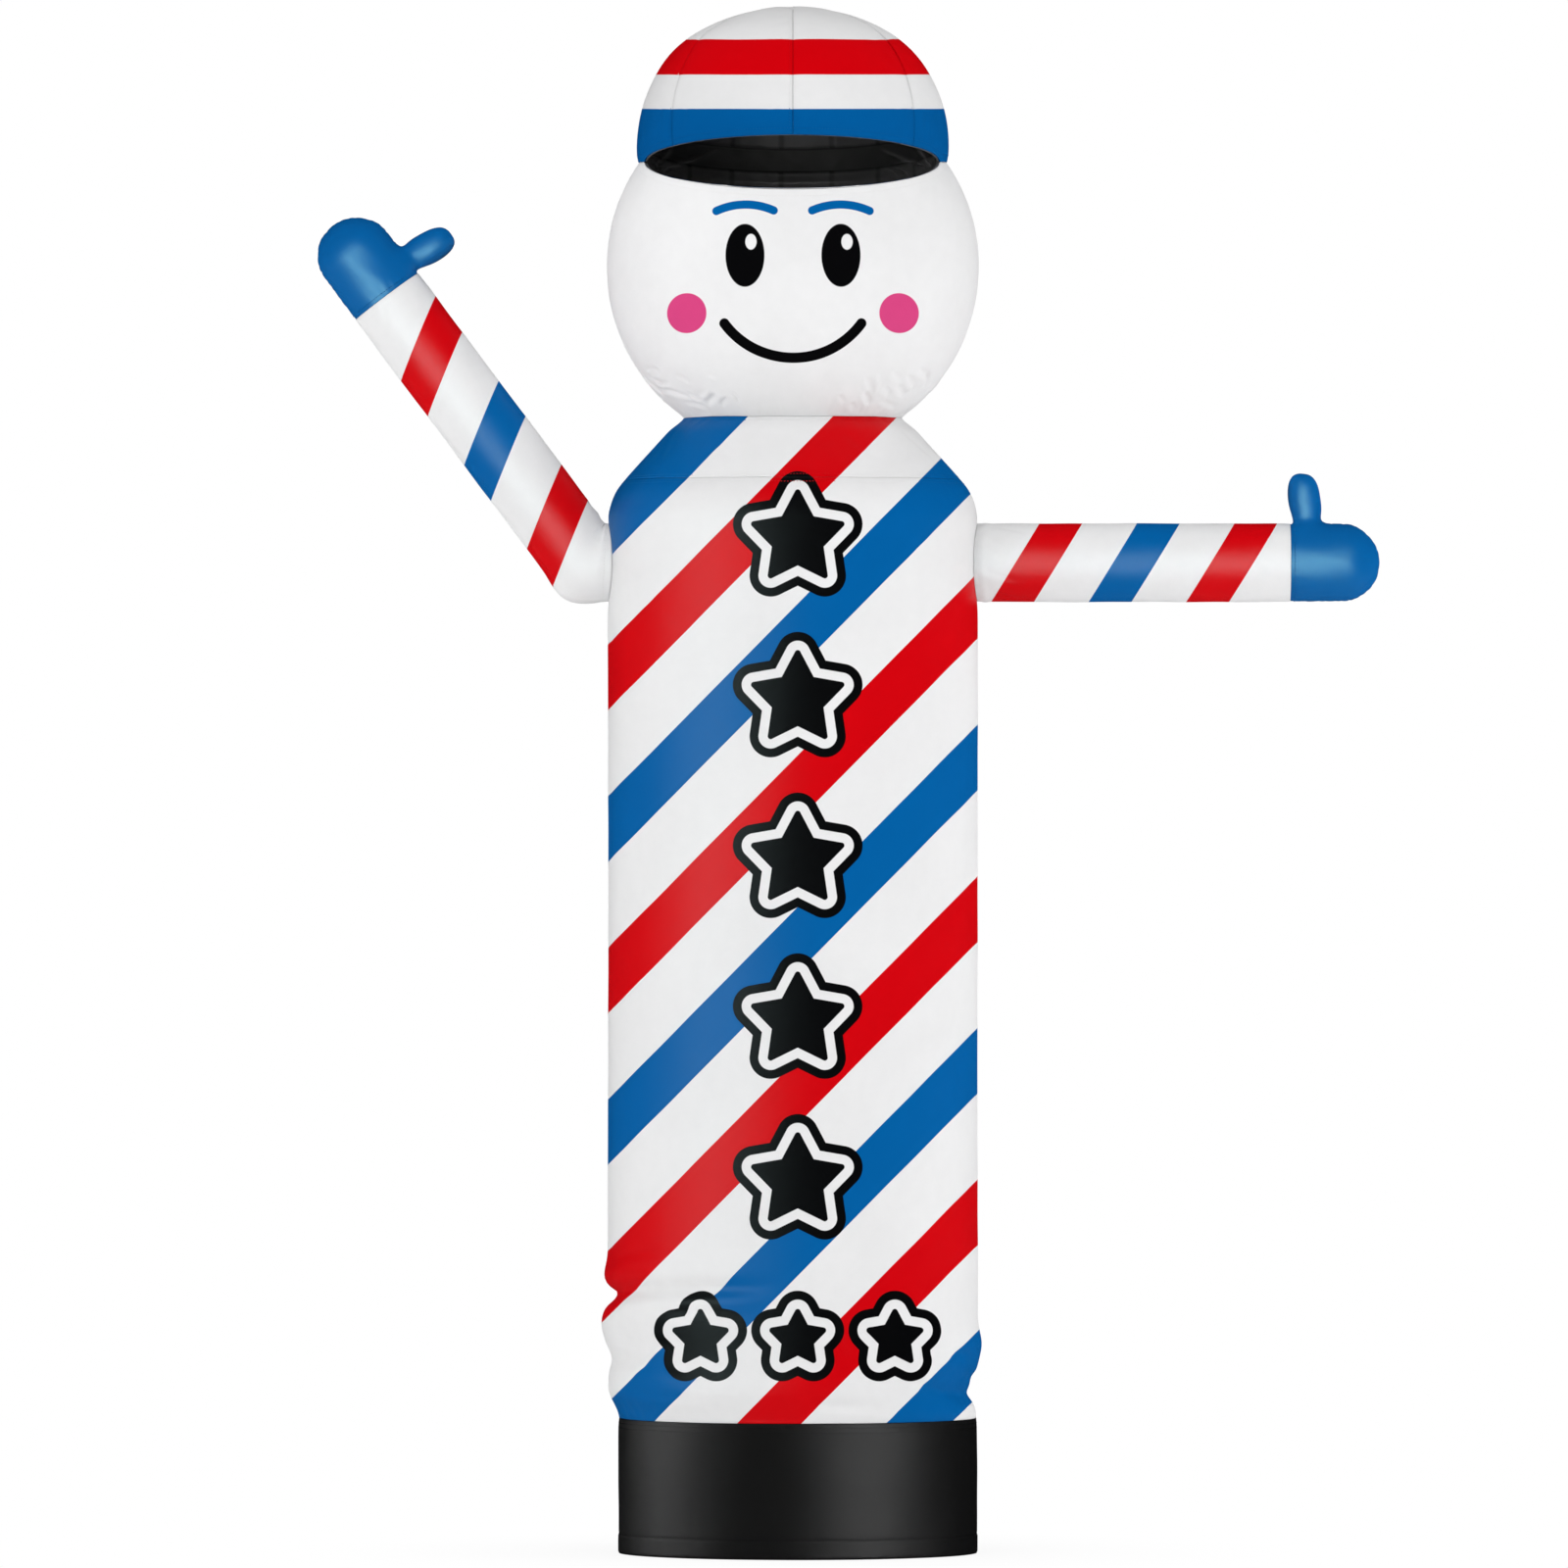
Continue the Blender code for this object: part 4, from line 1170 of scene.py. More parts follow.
def make_head(materials):
    angles = ring_angles(432)
    angles = angles - 0.35 * np.sin(angles)  # closer together in front
    low_rows = NECK_Z + join_rows((0, 0.006, 5), (0.006, 0.075, 38))
    z = rows_to_rim(angles, low_rows, 32, RIM_GAPS)
    angle = np.broadcast_to(angles, z.shape)
    neck_gap = (z - NECK_Z) * 1.25  # along the skin, which leaves the neck at a slant
    rim_gap = z[-1] - z
    give = rim_give(angle) * np.exp(-((rim_gap / 0.03) ** 2))
    points = stand(ball_radius(angle, z) - give, angle, z, TUBE_X)
    sewn = sewn_share(points[-1, :, 1])[None, :]
    seam = pinch(rim_gap, depth=0.0003, reach=0.005)
    seam += ring_puckers(BALL_RADIUS, angle, rim_gap, count=60, reach=0.018, depth=0.0010, seed=42)
    to_hem = np.abs(rim_gap - VENT_HEM)
    hem = vent_edge(rim_gap)
    hem += ring_puckers(BALL_RADIUS, angle, to_hem, count=84, reach=0.010, depth=0.0006, seed=43)
    relief = sewn * seam + (1 - sewn) * hem + swell(neck_gap, depth=0.0007, reach=0.004)
    relief += ring_puckers(NECK_RADIUS, angle, neck_gap, count=62, reach=0.018, depth=0.0014, seed=41)
    chin = [(on_ball(*first), on_ball(*last), *rest) for first, last, *rest in CHIN_CREASES]
    relief += creases(angle, z, CHIN_MIDDLE, chin) + creases(angle, z, HEAD_MIDDLE, HEAD_CREASES)
    calm = smooth_step(0, 0.05, rim_gap)
    relief += billows(angle, z, depth=0.0007, tall=0.07, seed=44, waves=(3, 5, 8, 12)) * calm
    normals = outward(points, True)
    points = points + relief[..., None] * normals
    wide = wrapped(angles)
    full_z = np.hstack([z, z[:, :1]])
    across = np.sqrt(BALL_RADIUS**2 - (full_z - BALL_Z) ** 2)
    print_map = flat_places(TUBE_X + wrap_print(wide[None, :], across), full_z)
    cloth_map = flat_places(across * wide[None, :], BALL_RADIUS * np.arcsin((full_z - BALL_Z) / BALL_RADIUS))
    # Darker above the neck seam, painted shade, and along the sewn rim, partly dirt and partly painted shade.
    dark = 0.20 * np.exp(-neck_gap / 0.006) + sewn * 0.2 * np.exp(-rim_gap / 0.002)
    piece = make_sheet("head_cloth", points, materials["head_print"], print_map, cloth_map, dark)
    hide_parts("head_ball")
    row = len(z) - len(RIM_GAPS) + RIM_GAPS.index(VENT_HEM)
    sew("white_thread", points[row], normals[row], print_map[row])
    return piece


FACING_TALL = 0.15


def make_head_facing(materials):
    """The black facing behind the head's rim."""
    angles = ring_angles(240)
    reach = BALL_RADIUS - LINING_INSET
    rim = rim_height(angles) - 0.0004
    z = rim - FACING_TALL * (1 - np.linspace(0, 1, 26)[:, None])
    angle = np.broadcast_to(angles, z.shape)
    gap = rim - z
    to_hem = np.abs(gap - 0.014)
    radius = np.sqrt(reach**2 - (z - BALL_Z) ** 2) - rim_give(angle) * np.exp(-((gap / 0.03) ** 2))
    points = stand(radius, angle, z, TUBE_X)
    relief = -np.abs(billows(angle, z, depth=0.0018, tall=0.02, seed=51, waves=(9, 14, 23)))
    relief += ring_puckers(reach, angle, to_hem, count=60, reach=0.020, depth=0.0014, seed=52)
    normals = outward(points, True)
    points = points + relief[..., None] * normals
    wide = wrapped(angles)
    flat = flat_places(reach * wide[None, :], np.hstack([z, z[:, :1]]))
    piece = make_sheet("head_facing", points, materials["lining_black"], flat, flat, 0 * z)
    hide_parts("head_lining")
    return piece


# ---------------------------------------------------------------- cap

CAP_LIFT = BRIM_OFF_BALL - CAP_HEIGHT * math.sin(BRIM_LATITUDE)
CAP_CENTRE = np.array([TUBE_X, CAP_LIFT * math.sin(CAP_TILT), BALL_Z + CAP_LIFT * math.cos(CAP_TILT)])


def cap_point(angle, latitude, inset):
    """A point of the cap's skin, inset from its outside, in the frame."""
    out = (CAP_RADIUS - inset) * np.cos(latitude)
    x, y, z = out * np.sin(angle), -out * np.cos(angle), (CAP_HEIGHT - inset) * np.sin(latitude)
    tilted_y = y * math.cos(CAP_TILT) + z * math.sin(CAP_TILT)
    tilted_z = z * math.cos(CAP_TILT) - y * math.sin(CAP_TILT)
    return np.stack([x, tilted_y, tilted_z], axis=-1) + CAP_CENTRE


BRIM_Y = CAP_CENTRE[1] + CAP_HEIGHT * math.sin(BRIM_LATITUDE) * math.sin(CAP_TILT)
BRIM_END = math.degrees(math.atan2(VENT["half_wide"], BRIM_Y - VENT["end_y"]))


def brim_shift(angle):
    """What takes a place on the brim's level round to the edge that the vent and the cap's seam ask for."""
    level = cap_point(angle, BRIM_LATITUDE, 0)
    off = np.degrees(np.abs(turned(angle))) - BRIM_END
    grow = 1 + end_give(off, BRIM_GIVE) / BRIM_RADIUS
    x = TUBE_X + (level[..., 0] - TUBE_X) * grow
    y = BRIM_Y + (level[..., 1] - BRIM_Y) * grow
    return np.stack([x, y, seam_height(x, y, 1)], axis=-1) - level


SHIFT_REACH = 0.035  # how far up from the brim that fades
BRIM_GAPS = (0, 0.0012, 0.0026, 0.0045, 0.0065, VENT_HEM, 0.012, 0.016, 0.021)


def cap_latitudes():
    """Close rows at the brim, where it is hemmed, and even ones to the crown."""
    low = BRIM_LATITUDE + np.array(BRIM_GAPS) / CAP_HEIGHT
    return np.concatenate([low, np.linspace(low[-1], math.pi / 2 - 0.0016, 38)[1:]])


CROWN_SWELL = {"out": 0.0040, "latitude": 42, "wide": 17}  # how the air blows the panels out half way up


def panel_swell(latitude):
    off = (latitude - math.radians(CROWN_SWELL["latitude"])) / math.radians(CROWN_SWELL["wide"])
    return CROWN_SWELL["out"] * np.exp(-(off**2))


# A panel's soft creases: from, to (share of its half width, share of its height), out, half width, bow.
PANEL_CREASES = (
    ((0.98, 0.30), (0.55, 0.36), -0.0008, 0.0045, 0.002),
    ((-0.98, 0.22), (-0.62, 0.30), -0.0008, 0.0045, -0.002),
    ((0.98, 0.60), (0.50, 0.55), -0.0007, 0.0045, 0.002),
    ((-0.98, 0.66), (-0.45, 0.60), -0.0007, 0.0045, 0.002),
    ((0.80, 0.02), (0.66, 0.16), -0.0009, 0.0050, 0.002),
    ((-0.82, 0.02), (-0.70, 0.14), -0.0009, 0.0050, -0.002),
)


def panel_columns(half_wide, count=20):
    """Places across a half panel from its middle, 0, to its seam, 1, close together at the seam."""
    near = np.array([0.0, 0.0011, 0.0025, 0.0042, 0.0065, 0.0095]) * np.minimum(1, half_wide / 0.02)
    inner = 1 - near[-1] / half_wide
    return np.concatenate([np.linspace(0, inner, count), 1 - near[::-1][1:] / half_wide])


def panel_creases(number, half, tall):
    """The table of soft creases for one panel, each a little higher or lower than in the next."""
    draw = np.random.default_rng(80 + number)
    table = []
    for (a_side, a_up), (b_side, b_up), out, wide, bow in PANEL_CREASES:
        shift = draw.uniform(-0.06, 0.06)
        start = (math.degrees(half * a_side), (a_up + shift) * tall)
        end = (math.degrees(half * b_side), (b_up + shift) * tall)
        table.append((start, end, out, wide, bow))
    return table


def make_cap_panel(number, materials):
    latitudes = cap_latitudes()
    half = math.pi / GORES
    middle = half + TAU / GORES * number
    rows = []
    for latitude in latitudes:
        radius = CAP_RADIUS * math.cos(latitude)
        share = panel_columns(radius * half)
        rows.append(np.concatenate([-share[::-1][:-1], share]) * (half - SEAM / 2 / radius))
    off = np.array(rows)
    angle = middle + off
    latitude = np.broadcast_to(latitudes[:, None], off.shape)
    up = (latitude - BRIM_LATITUDE) * CAP_HEIGHT
    fade = np.exp(-((up / SHIFT_REACH) ** 2))
    points = cap_point(angle, latitude, -panel_swell(latitude)) + brim_shift(angle) * fade[..., None]
    shown = shows_at(*np.moveaxis(points, -1, 0))[1]
    radius = CAP_RADIUS * np.cos(latitude)
    edge = radius * (half - np.abs(off))
    tall = up[-1, 0]
    narrow = np.minimum(1, radius / 0.07)  # the relief shrinks with the panel, towards the crown
    relief = narrow * pinch(edge, depth=0.0011, reach=0.0055)
    for side, seed in ((-1, 60), (1, 61)):
        gap = radius * (half - side * off)
        seed += 2 * number
        relief += narrow * seam_puckers(up, gap, tall, count=17, reach=0.012, depth=0.0009, seed=seed)
    relief += narrow * creases(off, up, CAP_RADIUS, panel_creases(number, half, tall))
    relief += narrow * billows(off, up, depth=0.0006, tall=0.05, seed=90 + number, waves=(3, 7))
    sewn = sewn_share(points[..., 1])
    relief += sewn * pinch(up, depth=0.0003, reach=0.005) + (1 - sewn) * vent_edge(up)
    to_stitches = np.abs(up - VENT_HEM * (1 - sewn))
    loop = CAP_RADIUS * TAU
    relief += seam_puckers(radius * angle, to_stitches, loop, count=90, reach=0.010, depth=0.0006, seed=62)
    normals = outward(points, False)
    points = points + relief[..., None] * normals
    print_map = flat_places(radius * off, shown)
    cloth_map = flat_places(radius * off + 0.4 * number, CAP_RADIUS * latitude)
    in_front = np.abs(turned(middle + half * np.sign(off))) < 0.1  # the seam straight in front is paler
    # Darker along the panels' seams and the sewn brim: partly dirt, partly painted shade.
    dark = np.where(in_front, 0.30, 0.65) * np.exp(-edge / 0.0018) + sewn * 0.2 * np.exp(-up / 0.002)
    name = f"cap_panel_{number + 1}"
    piece = make_sheet(name, points, materials["cap_print"], print_map, cloth_map, dark, ring=False)
    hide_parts(f"cap_gore_{number + 1}")
    row = BRIM_GAPS.index(VENT_HEM)
    sew("cap_thread", points[row], normals[row], print_map[row], closed=False)
    column = points.shape[1] - 4  # beside the panel's seam
    keep = slice(6, len(latitudes) - 8)  # from the hem to short of the crown
    sew("cap_thread", points[keep, column], normals[keep, column], print_map[keep, column], closed=False)
    return piece


LINING_BANDS = (0.0195, 0.0545)  # heights of the lining's two level joins
LINING_JOIN = CAP_RADIUS * TAU / 18  # between the upright joins below and above them
LINING_JOIN_X = 0.0164  # where one of them lies, from the middle of the back
LINING_CREASES = (
    # From, to (degrees, metres above the brim), out, half width, bow.
    ((-112, 0.006), (-126, 0.040), 0.0030, 0.0030, 0.003),
    ((-118, 0.002), (-140, 0.030), 0.0026, 0.0026, -0.003),
    ((-108, 0.018), (-120, 0.058), 0.0026, 0.0030, 0.003),
    ((-124, 0.010), (-148, 0.046), 0.0018, 0.0028, 0.003),
    ((110, 0.004), (124, 0.040), 0.0030, 0.0030, -0.003),
    ((116, 0.008), (136, 0.024), 0.0022, 0.0026, 0.003),
    ((120, 0.014), (142, 0.044), 0.0022, 0.0028, -0.003),
    ((128, 0.002), (137, 0.018), 0.0024, 0.0024, 0.002),
    ((134, 0.003), (142, 0.019), 0.0020, 0.0022, 0.002),
)


def make_cap_lining(materials):
    """The black dome inside the cap, pieced from bands low on its back, where the vent shows it."""
    latitudes = np.concatenate([cap_latitudes()[:-1], [math.pi / 2 - 0.004]])
    low = latitudes[latitudes < BRIM_LATITUDE + 0.085 / CAP_HEIGHT]
    latitudes = np.concatenate([np.linspace(low[0], low[-1], 46), latitudes[len(low) :]])
    angles = ring_angles(360)
    angle, latitude = np.meshgrid(angles, latitudes)
    up = (latitude - BRIM_LATITUDE) * CAP_HEIGHT
    fade = np.exp(-((up / SHIFT_REACH) ** 2))
    points = cap_point(angle, latitude, LINING_INSET) + brim_shift(angle) * fade[..., None]
    radius = CAP_RADIUS * np.cos(latitude)
    around = CAP_RADIUS * turned(angle - math.pi)
    calm = smooth_step(0, 0.05, radius)
    lower = 1 - smooth_step(LINING_BANDS[0] - 0.001, LINING_BANDS[0], up)
    upper = smooth_step(LINING_BANDS[1], LINING_BANDS[1] + 0.001, up) * (1 - smooth_step(0.08, 0.10, up))
    joins = sum(np.exp(-(((up - height) / 0.0011) ** 2)) for height in LINING_BANDS)
    gap = (around - LINING_JOIN_X + LINING_JOIN / 2) % LINING_JOIN - LINING_JOIN / 2
    joins = joins + np.exp(-((gap / 0.0018) ** 2)) * np.maximum(lower, upper)
    relief = -0.0016 * joins - 0.0010 * lower
    relief -= np.abs(billows(angle, up, depth=0.0016, tall=0.09, seed=71, waves=(11, 17, 29))) * calm
    to_join = np.abs(up - LINING_BANDS[0])
    loop = CAP_RADIUS * TAU
    relief += seam_puckers(around, to_join, loop, count=70, reach=0.008, depth=0.0008, seed=72)
    wrinkles = creases(angle, up, CAP_RADIUS, LINING_CREASES)
    relief += wrinkles
    relief *= calm
    relief = np.minimum(relief - 0.0012, 0) * smooth_step(0, 0.006, up)
    normals = outward(points, True)
    points = points + relief[..., None] * normals
    wide = wrapped(angles)
    flat = flat_places(CAP_RADIUS * wide[None, :], (latitudes * CAP_RADIUS)[:, None])
    # Painted light: the lower and upper bands are painted paler and the middle darker, and the ridges of the
    # wrinkles carry painted highlights. The joins are darker.
    dark = 1.3 - 3.2 * lower - 2.8 * upper - 3000 * np.maximum(wrinkles, 0)
    dark = dark + (3.2 - dark) * np.minimum(joins, 1)
    piece = make_sheet("cap_lining_cloth", points, materials["lining_black"], flat, flat, dark)
    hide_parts("cap_lining")
    return piece


# ---------------------------------------------------------------- sleeves


SLEEVE_TURNS = TAU * np.arange(96) / 96
SEWN_IN = 0.0055  # how far the stitches lie from a sleeve's root and from a mitt's cuff


def sleeve_grid(centres, downs, radii_down, side):
    """Rings round a line. downs point to the lower side, and the rings may be longer that way."""
    across = -radii_down[:, None] * np.cos(SLEEVE_TURNS)[None, :]
    points = centres[:, None, :] + downs[:, None, :] * across[..., None]
    points[..., 1] -= side * SLEEVE_RADIUS * np.sin(SLEEVE_TURNS)[None, :]
    return points


def cope(points, side):
    """A root ring with its points set on the tube's drawn-in skin."""
    reach = TUBE_RADIUS - ARMHOLE_DIP + 0.0002
    points[..., 0] = TUBE_X + side * np.sqrt(reach**2 - points[..., 1] ** 2)
    return points


def finish_sleeve(side, points, run, length, stripes_map, seed, table, materials):
    """Adds the relief that both sleeves share: puckers at the root and the cuff, creases and billows. run is
    how far along the sleeve each point lies."""
    turn = np.broadcast_to(SLEEVE_TURNS, run.shape)
    around = SLEEVE_RADIUS * turn
    loop = SLEEVE_RADIUS * TAU
    root = run
    cuff = length - run
    relief = pinch(root, depth=0.0002, reach=0.005) + pinch(cuff, depth=0.0005, reach=0.005)
    relief += seam_puckers(around, root, loop, count=26, reach=0.016, depth=0.0011, seed=seed)
    relief += seam_puckers(around, cuff, loop, count=24, reach=0.012, depth=0.0007, seed=seed + 1)
    relief += swell(root - 0.011, depth=0.0008, reach=0.005)
    calm = smooth_step(0, 0.03, root) * smooth_step(0, 0.03, cuff)
    relief += billows(turn, run, depth=0.00055, tall=0.035, seed=seed + 2, waves=(2, 3, 5)) * calm
    relief += creases(turn, run, SLEEVE_RADIUS, table)
    normals = outward(points, True)
    points = points + relief[..., None] * normals
    # Darker at the root and the cuff: partly dirt, partly painted shade.
    dark = 0.12 * np.exp(-root / 0.003) + 0.2 * np.exp(-cuff / 0.002)
    wide = np.append(SLEEVE_TURNS, TAU)
    cloth_map = flat_places(SLEEVE_RADIUS * wide[None, :], np.hstack([run, run[:, :1]]))
    print_map = stripes_map(points)
    name = f"{side}_sleeve_cloth"
    piece = make_sheet(name, points, materials[f"{side}_print"], print_map, cloth_map, dark)
    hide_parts(f"{side}_sleeve")
    row = nearest_row(run[:, 0], SEWN_IN)
    sew(f"{side}_thread", points[row], normals[row], print_map[row])
    return piece


# From, to (degrees from the upper side towards the front, metres from the root), out, half width, bow.
LEVEL_CREASES = (
    ((60, 0.012), (84, 0.050), -0.0010, 0.0040, 0.002),
    ((100, 0.012), (118, 0.060), -0.0009, 0.0040, -0.002),
    ((24, 0.016), (44, 0.070), -0.0008, 0.0045, 0.002),
    ((140, 0.016), (158, 0.056), -0.0010, 0.0045, 0.002),
    ((200, 0.014), (232, 0.060), -0.0010, 0.0045, 0.002),
    ((300, 0.014), (276, 0.070), -0.0010, 0.0045, -0.002),
    ((20, 0.405), (46, 0.372), -0.0008, 0.0040, 0.002),
    ((110, 0.408), (92, 0.380), -0.0007, 0.0040, 0.002),
    ((250, 0.405), (226, 0.368), -0.0009, 0.0045, 0.002),
)
RAISED_CREASES = (
    ((-30, 0.052), (58, 0.058), -0.0022, 0.0045, 0.003),
    ((-34, 0.072), (52, 0.086), -0.0016, 0.0050, 0.003),
    ((-26, 0.034), (40, 0.036), -0.0016, 0.0040, -0.002),
    ((300, 0.058), (366, 0.062), -0.0016, 0.0045, 0.002),
    ((120, 0.020), (146, 0.064), -0.0012, 0.0050, 0.003),
    ((214, 0.020), (190, 0.066), -0.0012, 0.0050, -0.003),
    ((76, 0.100), (104, 0.150), -0.0008, 0.0050, 0.003),
    ((40, 0.470), (66, 0.436), -0.0008, 0.0040, 0.002),
    ((120, 0.474), (96, 0.442), -0.0008, 0.0040, 0.002),
    ((260, 0.470), (236, 0.436), -0.0009, 0.0045, 0.002),
)


def make_level_sleeve(materials):
    end = LEVEL_CUFF_X - SEAM
    share = join_rows((0, 0.045, 12), (0.045, 0.14, 10), (0.14, 0.88, 30), (0.88, 0.965, 8), (0.965, 1, 10))
    down = np.array([0.0, 0.0, -1.0])
    middle = np.array([0.0, 0.0, SLEEVE_Z])
    ring = sleeve_grid(middle[None, :], down[None, :], np.array([SLEEVE_RADIUS]), 1)[0]
    root = cope(ring, 1)
    points = np.repeat(root[None], len(share), axis=0)
    points[..., 0] += (end - root[None, :, 0]) * share[:, None]
    run = points[..., 0] - root[None, :, 0]
    length = end - (TUBE_X + TUBE_RADIUS)
    run = run * length / run[-1:]

    def stripes_map(shape):
        flat = flat_places(shape[..., 0] - LEVEL_RED_X, shape[..., 2] - (SLEEVE_Z - SLEEVE_RADIUS))
        return np.concatenate([flat, flat[:, :1]], axis=1)

    piece = finish_sleeve("level", points, run, length, stripes_map, 101, LEVEL_CREASES, materials)
    return piece


def raised_frame():
    """The raised sleeve's pivot, the way to its lower side and the way along it."""
    pivot = np.array([TUBE_X - TUBE_RADIUS - BEND_SET_OFF, 0, SLEEVE_Z + SLEEVE_RADIUS + BEND_RADIUS])
    down = np.array([-math.sin(RAISE), 0, -math.cos(RAISE)])
    out = np.array([-math.cos(RAISE), 0, math.sin(RAISE)])
    return pivot, down, out


def make_raised_sleeve(materials):
    pivot, last_down, out = raised_frame()
    corner = 1 / math.cos(RAISE / 2) - 1
    fan = np.linspace(0, 1, 19)
    straight = RAISED_LENGTH * join_rows((0, 0.86, 48), (0.86, 0.96, 8), (0.96, 1, 10))
    straight = straight[1:] - SEAM * (straight[1:] == RAISED_LENGTH)
    turn = RAISE * fan
    downs = np.stack([-np.sin(turn), 0 * turn, -np.cos(turn)], axis=-1)
    stretch = 1 + BEND_CORNER * corner * np.sin(math.pi * fan) ** 2
    centres = pivot + downs * ((BEND_RADIUS + SLEEVE_RADIUS) * stretch)[:, None]
    cuff_line = pivot + last_down * (BEND_RADIUS + SLEEVE_RADIUS)
    centres = np.concatenate([centres, cuff_line + out * straight[:, None]])
    downs = np.concatenate([downs, np.repeat(last_down[None], len(straight), axis=0)])
    stretch = np.concatenate([stretch, np.ones(len(straight))])
    points = sleeve_grid(centres, downs, SLEEVE_RADIUS * stretch, -1)
    near = points[:1]
    root = cope(near.copy(), -1)
    between = [root + (near - root) * share for share in (0, 1 / 3, 2 / 3)]
    points = np.concatenate([*between, points])
    bend = 0.052  # the way round the elbow, along the sleeve's middle
    middle = np.concatenate([[0, 0.0007, 0.0014], 0.002 + bend * fan, 0.002 + bend + straight])
    run = np.broadcast_to(middle[:, None], points.shape[:2])
    length = middle[-1]
    cuff = cuff_line + out * RAISED_LENGTH

    def stripes_map(shape):
        off = shape - cuff
        flat = flat_places(-(off @ out), -(off @ last_down) + SLEEVE_RADIUS)
        return np.concatenate([flat, flat[:, :1]], axis=1)

    piece = finish_sleeve("raised", points, run, length, stripes_map, 111, RAISED_CREASES, materials)
    return piece


# ---------------------------------------------------------------- mitts

MITT_SHRINK = 0.9035  # how much of its radius an eight-sided ring keeps in several steps of subdivision
THUMB_GROW = 1.035  # subdivision draws the thumb in too
MITT_STITCHES = 0.0526  # the radius of the ring of stitches at its cuff


def mitt_cage():
    """The bag with its thumb up as a coarse cage, open at the cuff. +X runs along the sleeve."""
    sides = 8
    hand = (
        # how far along, share of the radius
        (0, 1),
        (0.003, 1),
        (0.042, 1),
        (0.068, 1),
        (0.090, 0.984),
        (0.1222, 0.436),
    )
    thumb = (
        # height, half width across the hand, half width along it, middle along it
        (0.064, 0.021, 0.0220, 0.0210),
        (0.086, 0.023, 0.0250, 0.0190),
        (0.108, 0.021, 0.0215, 0.0165),
        (0.122, 0.011, 0.0120, 0.0150),
    )
    spots, faces = [], []
    for along, share in hand:
        radius = share * SLEEVE_RADIUS / MITT_SHRINK
        for side in range(sides):
            turn = TAU * (side + 0.5) / sides
            spots.append((along, radius * math.sin(turn), radius * math.cos(turn)))
    for row in range(len(hand) - 1):
        for side in range(sides):
            after = (side + 1) % sides
            if row == 1 and side == sides - 1:
                continue  # the thumb grows out of this gap
            low = row * sides
            high = low + sides
            faces.append((low + side, low + after, high + after, high + side))
    faces.append(tuple((len(hand) - 1) * sides + side for side in range(sides)))
    low = (2 * sides - 1, sides, 2 * sides, 3 * sides - 1)
    for height, across, along, middle in thumb:
        across *= THUMB_GROW
        along *= THUMB_GROW
        high = tuple(range(len(spots), len(spots) + 4))
        for x, y in ((-along, -across), (-along, across), (along, across), (along, -across)):
            spots.append((middle + x, y, height))
        for side in range(4):
            after = (side + 1) % 4
            faces.append((low[side], low[after], high[after], high[side]))
        low = high
    faces.append(low)
    mesh = bpy.data.meshes.new("mitt")
    mesh.from_pydata(spots, [], faces)
    return mesh


def fine_mitt():
    """The cage subdivided, as plain arrays of places, faces and normals."""
    cage = bpy.data.objects.new("mitt_cage", mitt_cage())
    bpy.context.scene.collection.objects.link(cage)
    finer = cage.modifiers.new("finer", "SUBSURF")
    finer.levels = finer.render_levels = 4
    bpy.context.view_layer.update()
    mesh = bpy.data.meshes.new_from_object(cage.evaluated_get(bpy.context.evaluated_depsgraph_get()))
    bpy.data.objects.remove(cage)
    places = np.array([v.co for v in mesh.vertices])
    normals = np.array([v.normal for v in mesh.vertices])
    faces = [tuple(p.vertices) for p in mesh.polygons]
    middle = places.mean(0)
    if np.mean(np.sum((places - middle) * normals, axis=1)) < 0:
        faces = [face[::-1] for face in faces]
        normals = -normals
    return places, faces, normals


def make_mitt(side, shape, matrix, seed, materials):
    """A mitt of two halves, sewn together round its outline and to its cuff."""
    places, faces, normals = shape
    x, y, z = places.T
    edge = np.abs(y)
    on_outline = np.clip((0.35 - np.abs(normals[:, 1])) / 0.2, 0, 1) * smooth_step(0.0, 0.012, x)
    turn = np.arctan2(y, z)
    relief = pinch(x, depth=0.0011, reach=0.005)
    relief += ring_puckers(SLEEVE_RADIUS, turn, x, count=24, reach=0.014, depth=0.0009, seed=seed)
    relief -= swell(edge, depth=0.0013, reach=0.0028) * on_outline
    outline = np.arctan2(z, x - 0.05)
    puckers = ring_puckers(0.08, outline, edge, count=40, reach=0.012, depth=0.0010, seed=seed + 1)
    relief += puckers * smooth_step(0.005, 0.02, x)
    slack = np.sin(70 * x + 3 * np.sin(40 * z)) * np.sin(55 * z + 20 * y)
    relief += 0.0006 * slack * smooth_step(0, 0.03, x)
    mesh = bpy.data.meshes.new(f"{side}_mitt_cloth")
    mesh.from_pydata((places + relief[:, None] * normals).tolist(), [], faces)
    loops = np.array([corner for face in faces for corner in face])
    flat = np.stack([x, np.sign(y + 1e-9) * (0.2 + z)], axis=-1)[loops]  # the two halves apart
    add_map(mesh, "print", flat)
    add_map(mesh, "cloth", flat)
    # Darker at the cuff and along the outline's seam: partly dirt, partly painted shade.
    give_painted_light_and_dirt(mesh, 0.3 * np.exp(-x / 0.002) + 0.5 * np.exp(-((edge / 0.0022) ** 2)) * on_outline)
    mesh.transform(matrix)
    piece = hang_cloth(mesh.name, mesh, materials["mitt_blue"])
    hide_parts(f"{side}_mitt")

    turns = np.linspace(0, TAU, 120, endpoint=False)
    outwards = np.stack([0 * turns, np.sin(turns), np.cos(turns)], axis=-1)
    line = np.array([SEWN_IN, 0, 0]) + MITT_STITCHES * outwards
    spin = np.array(matrix.to_3x3())
    sew("blue_thread", line @ spin.T + np.array(matrix.translation), outwards @ spin.T, line[:, :2])


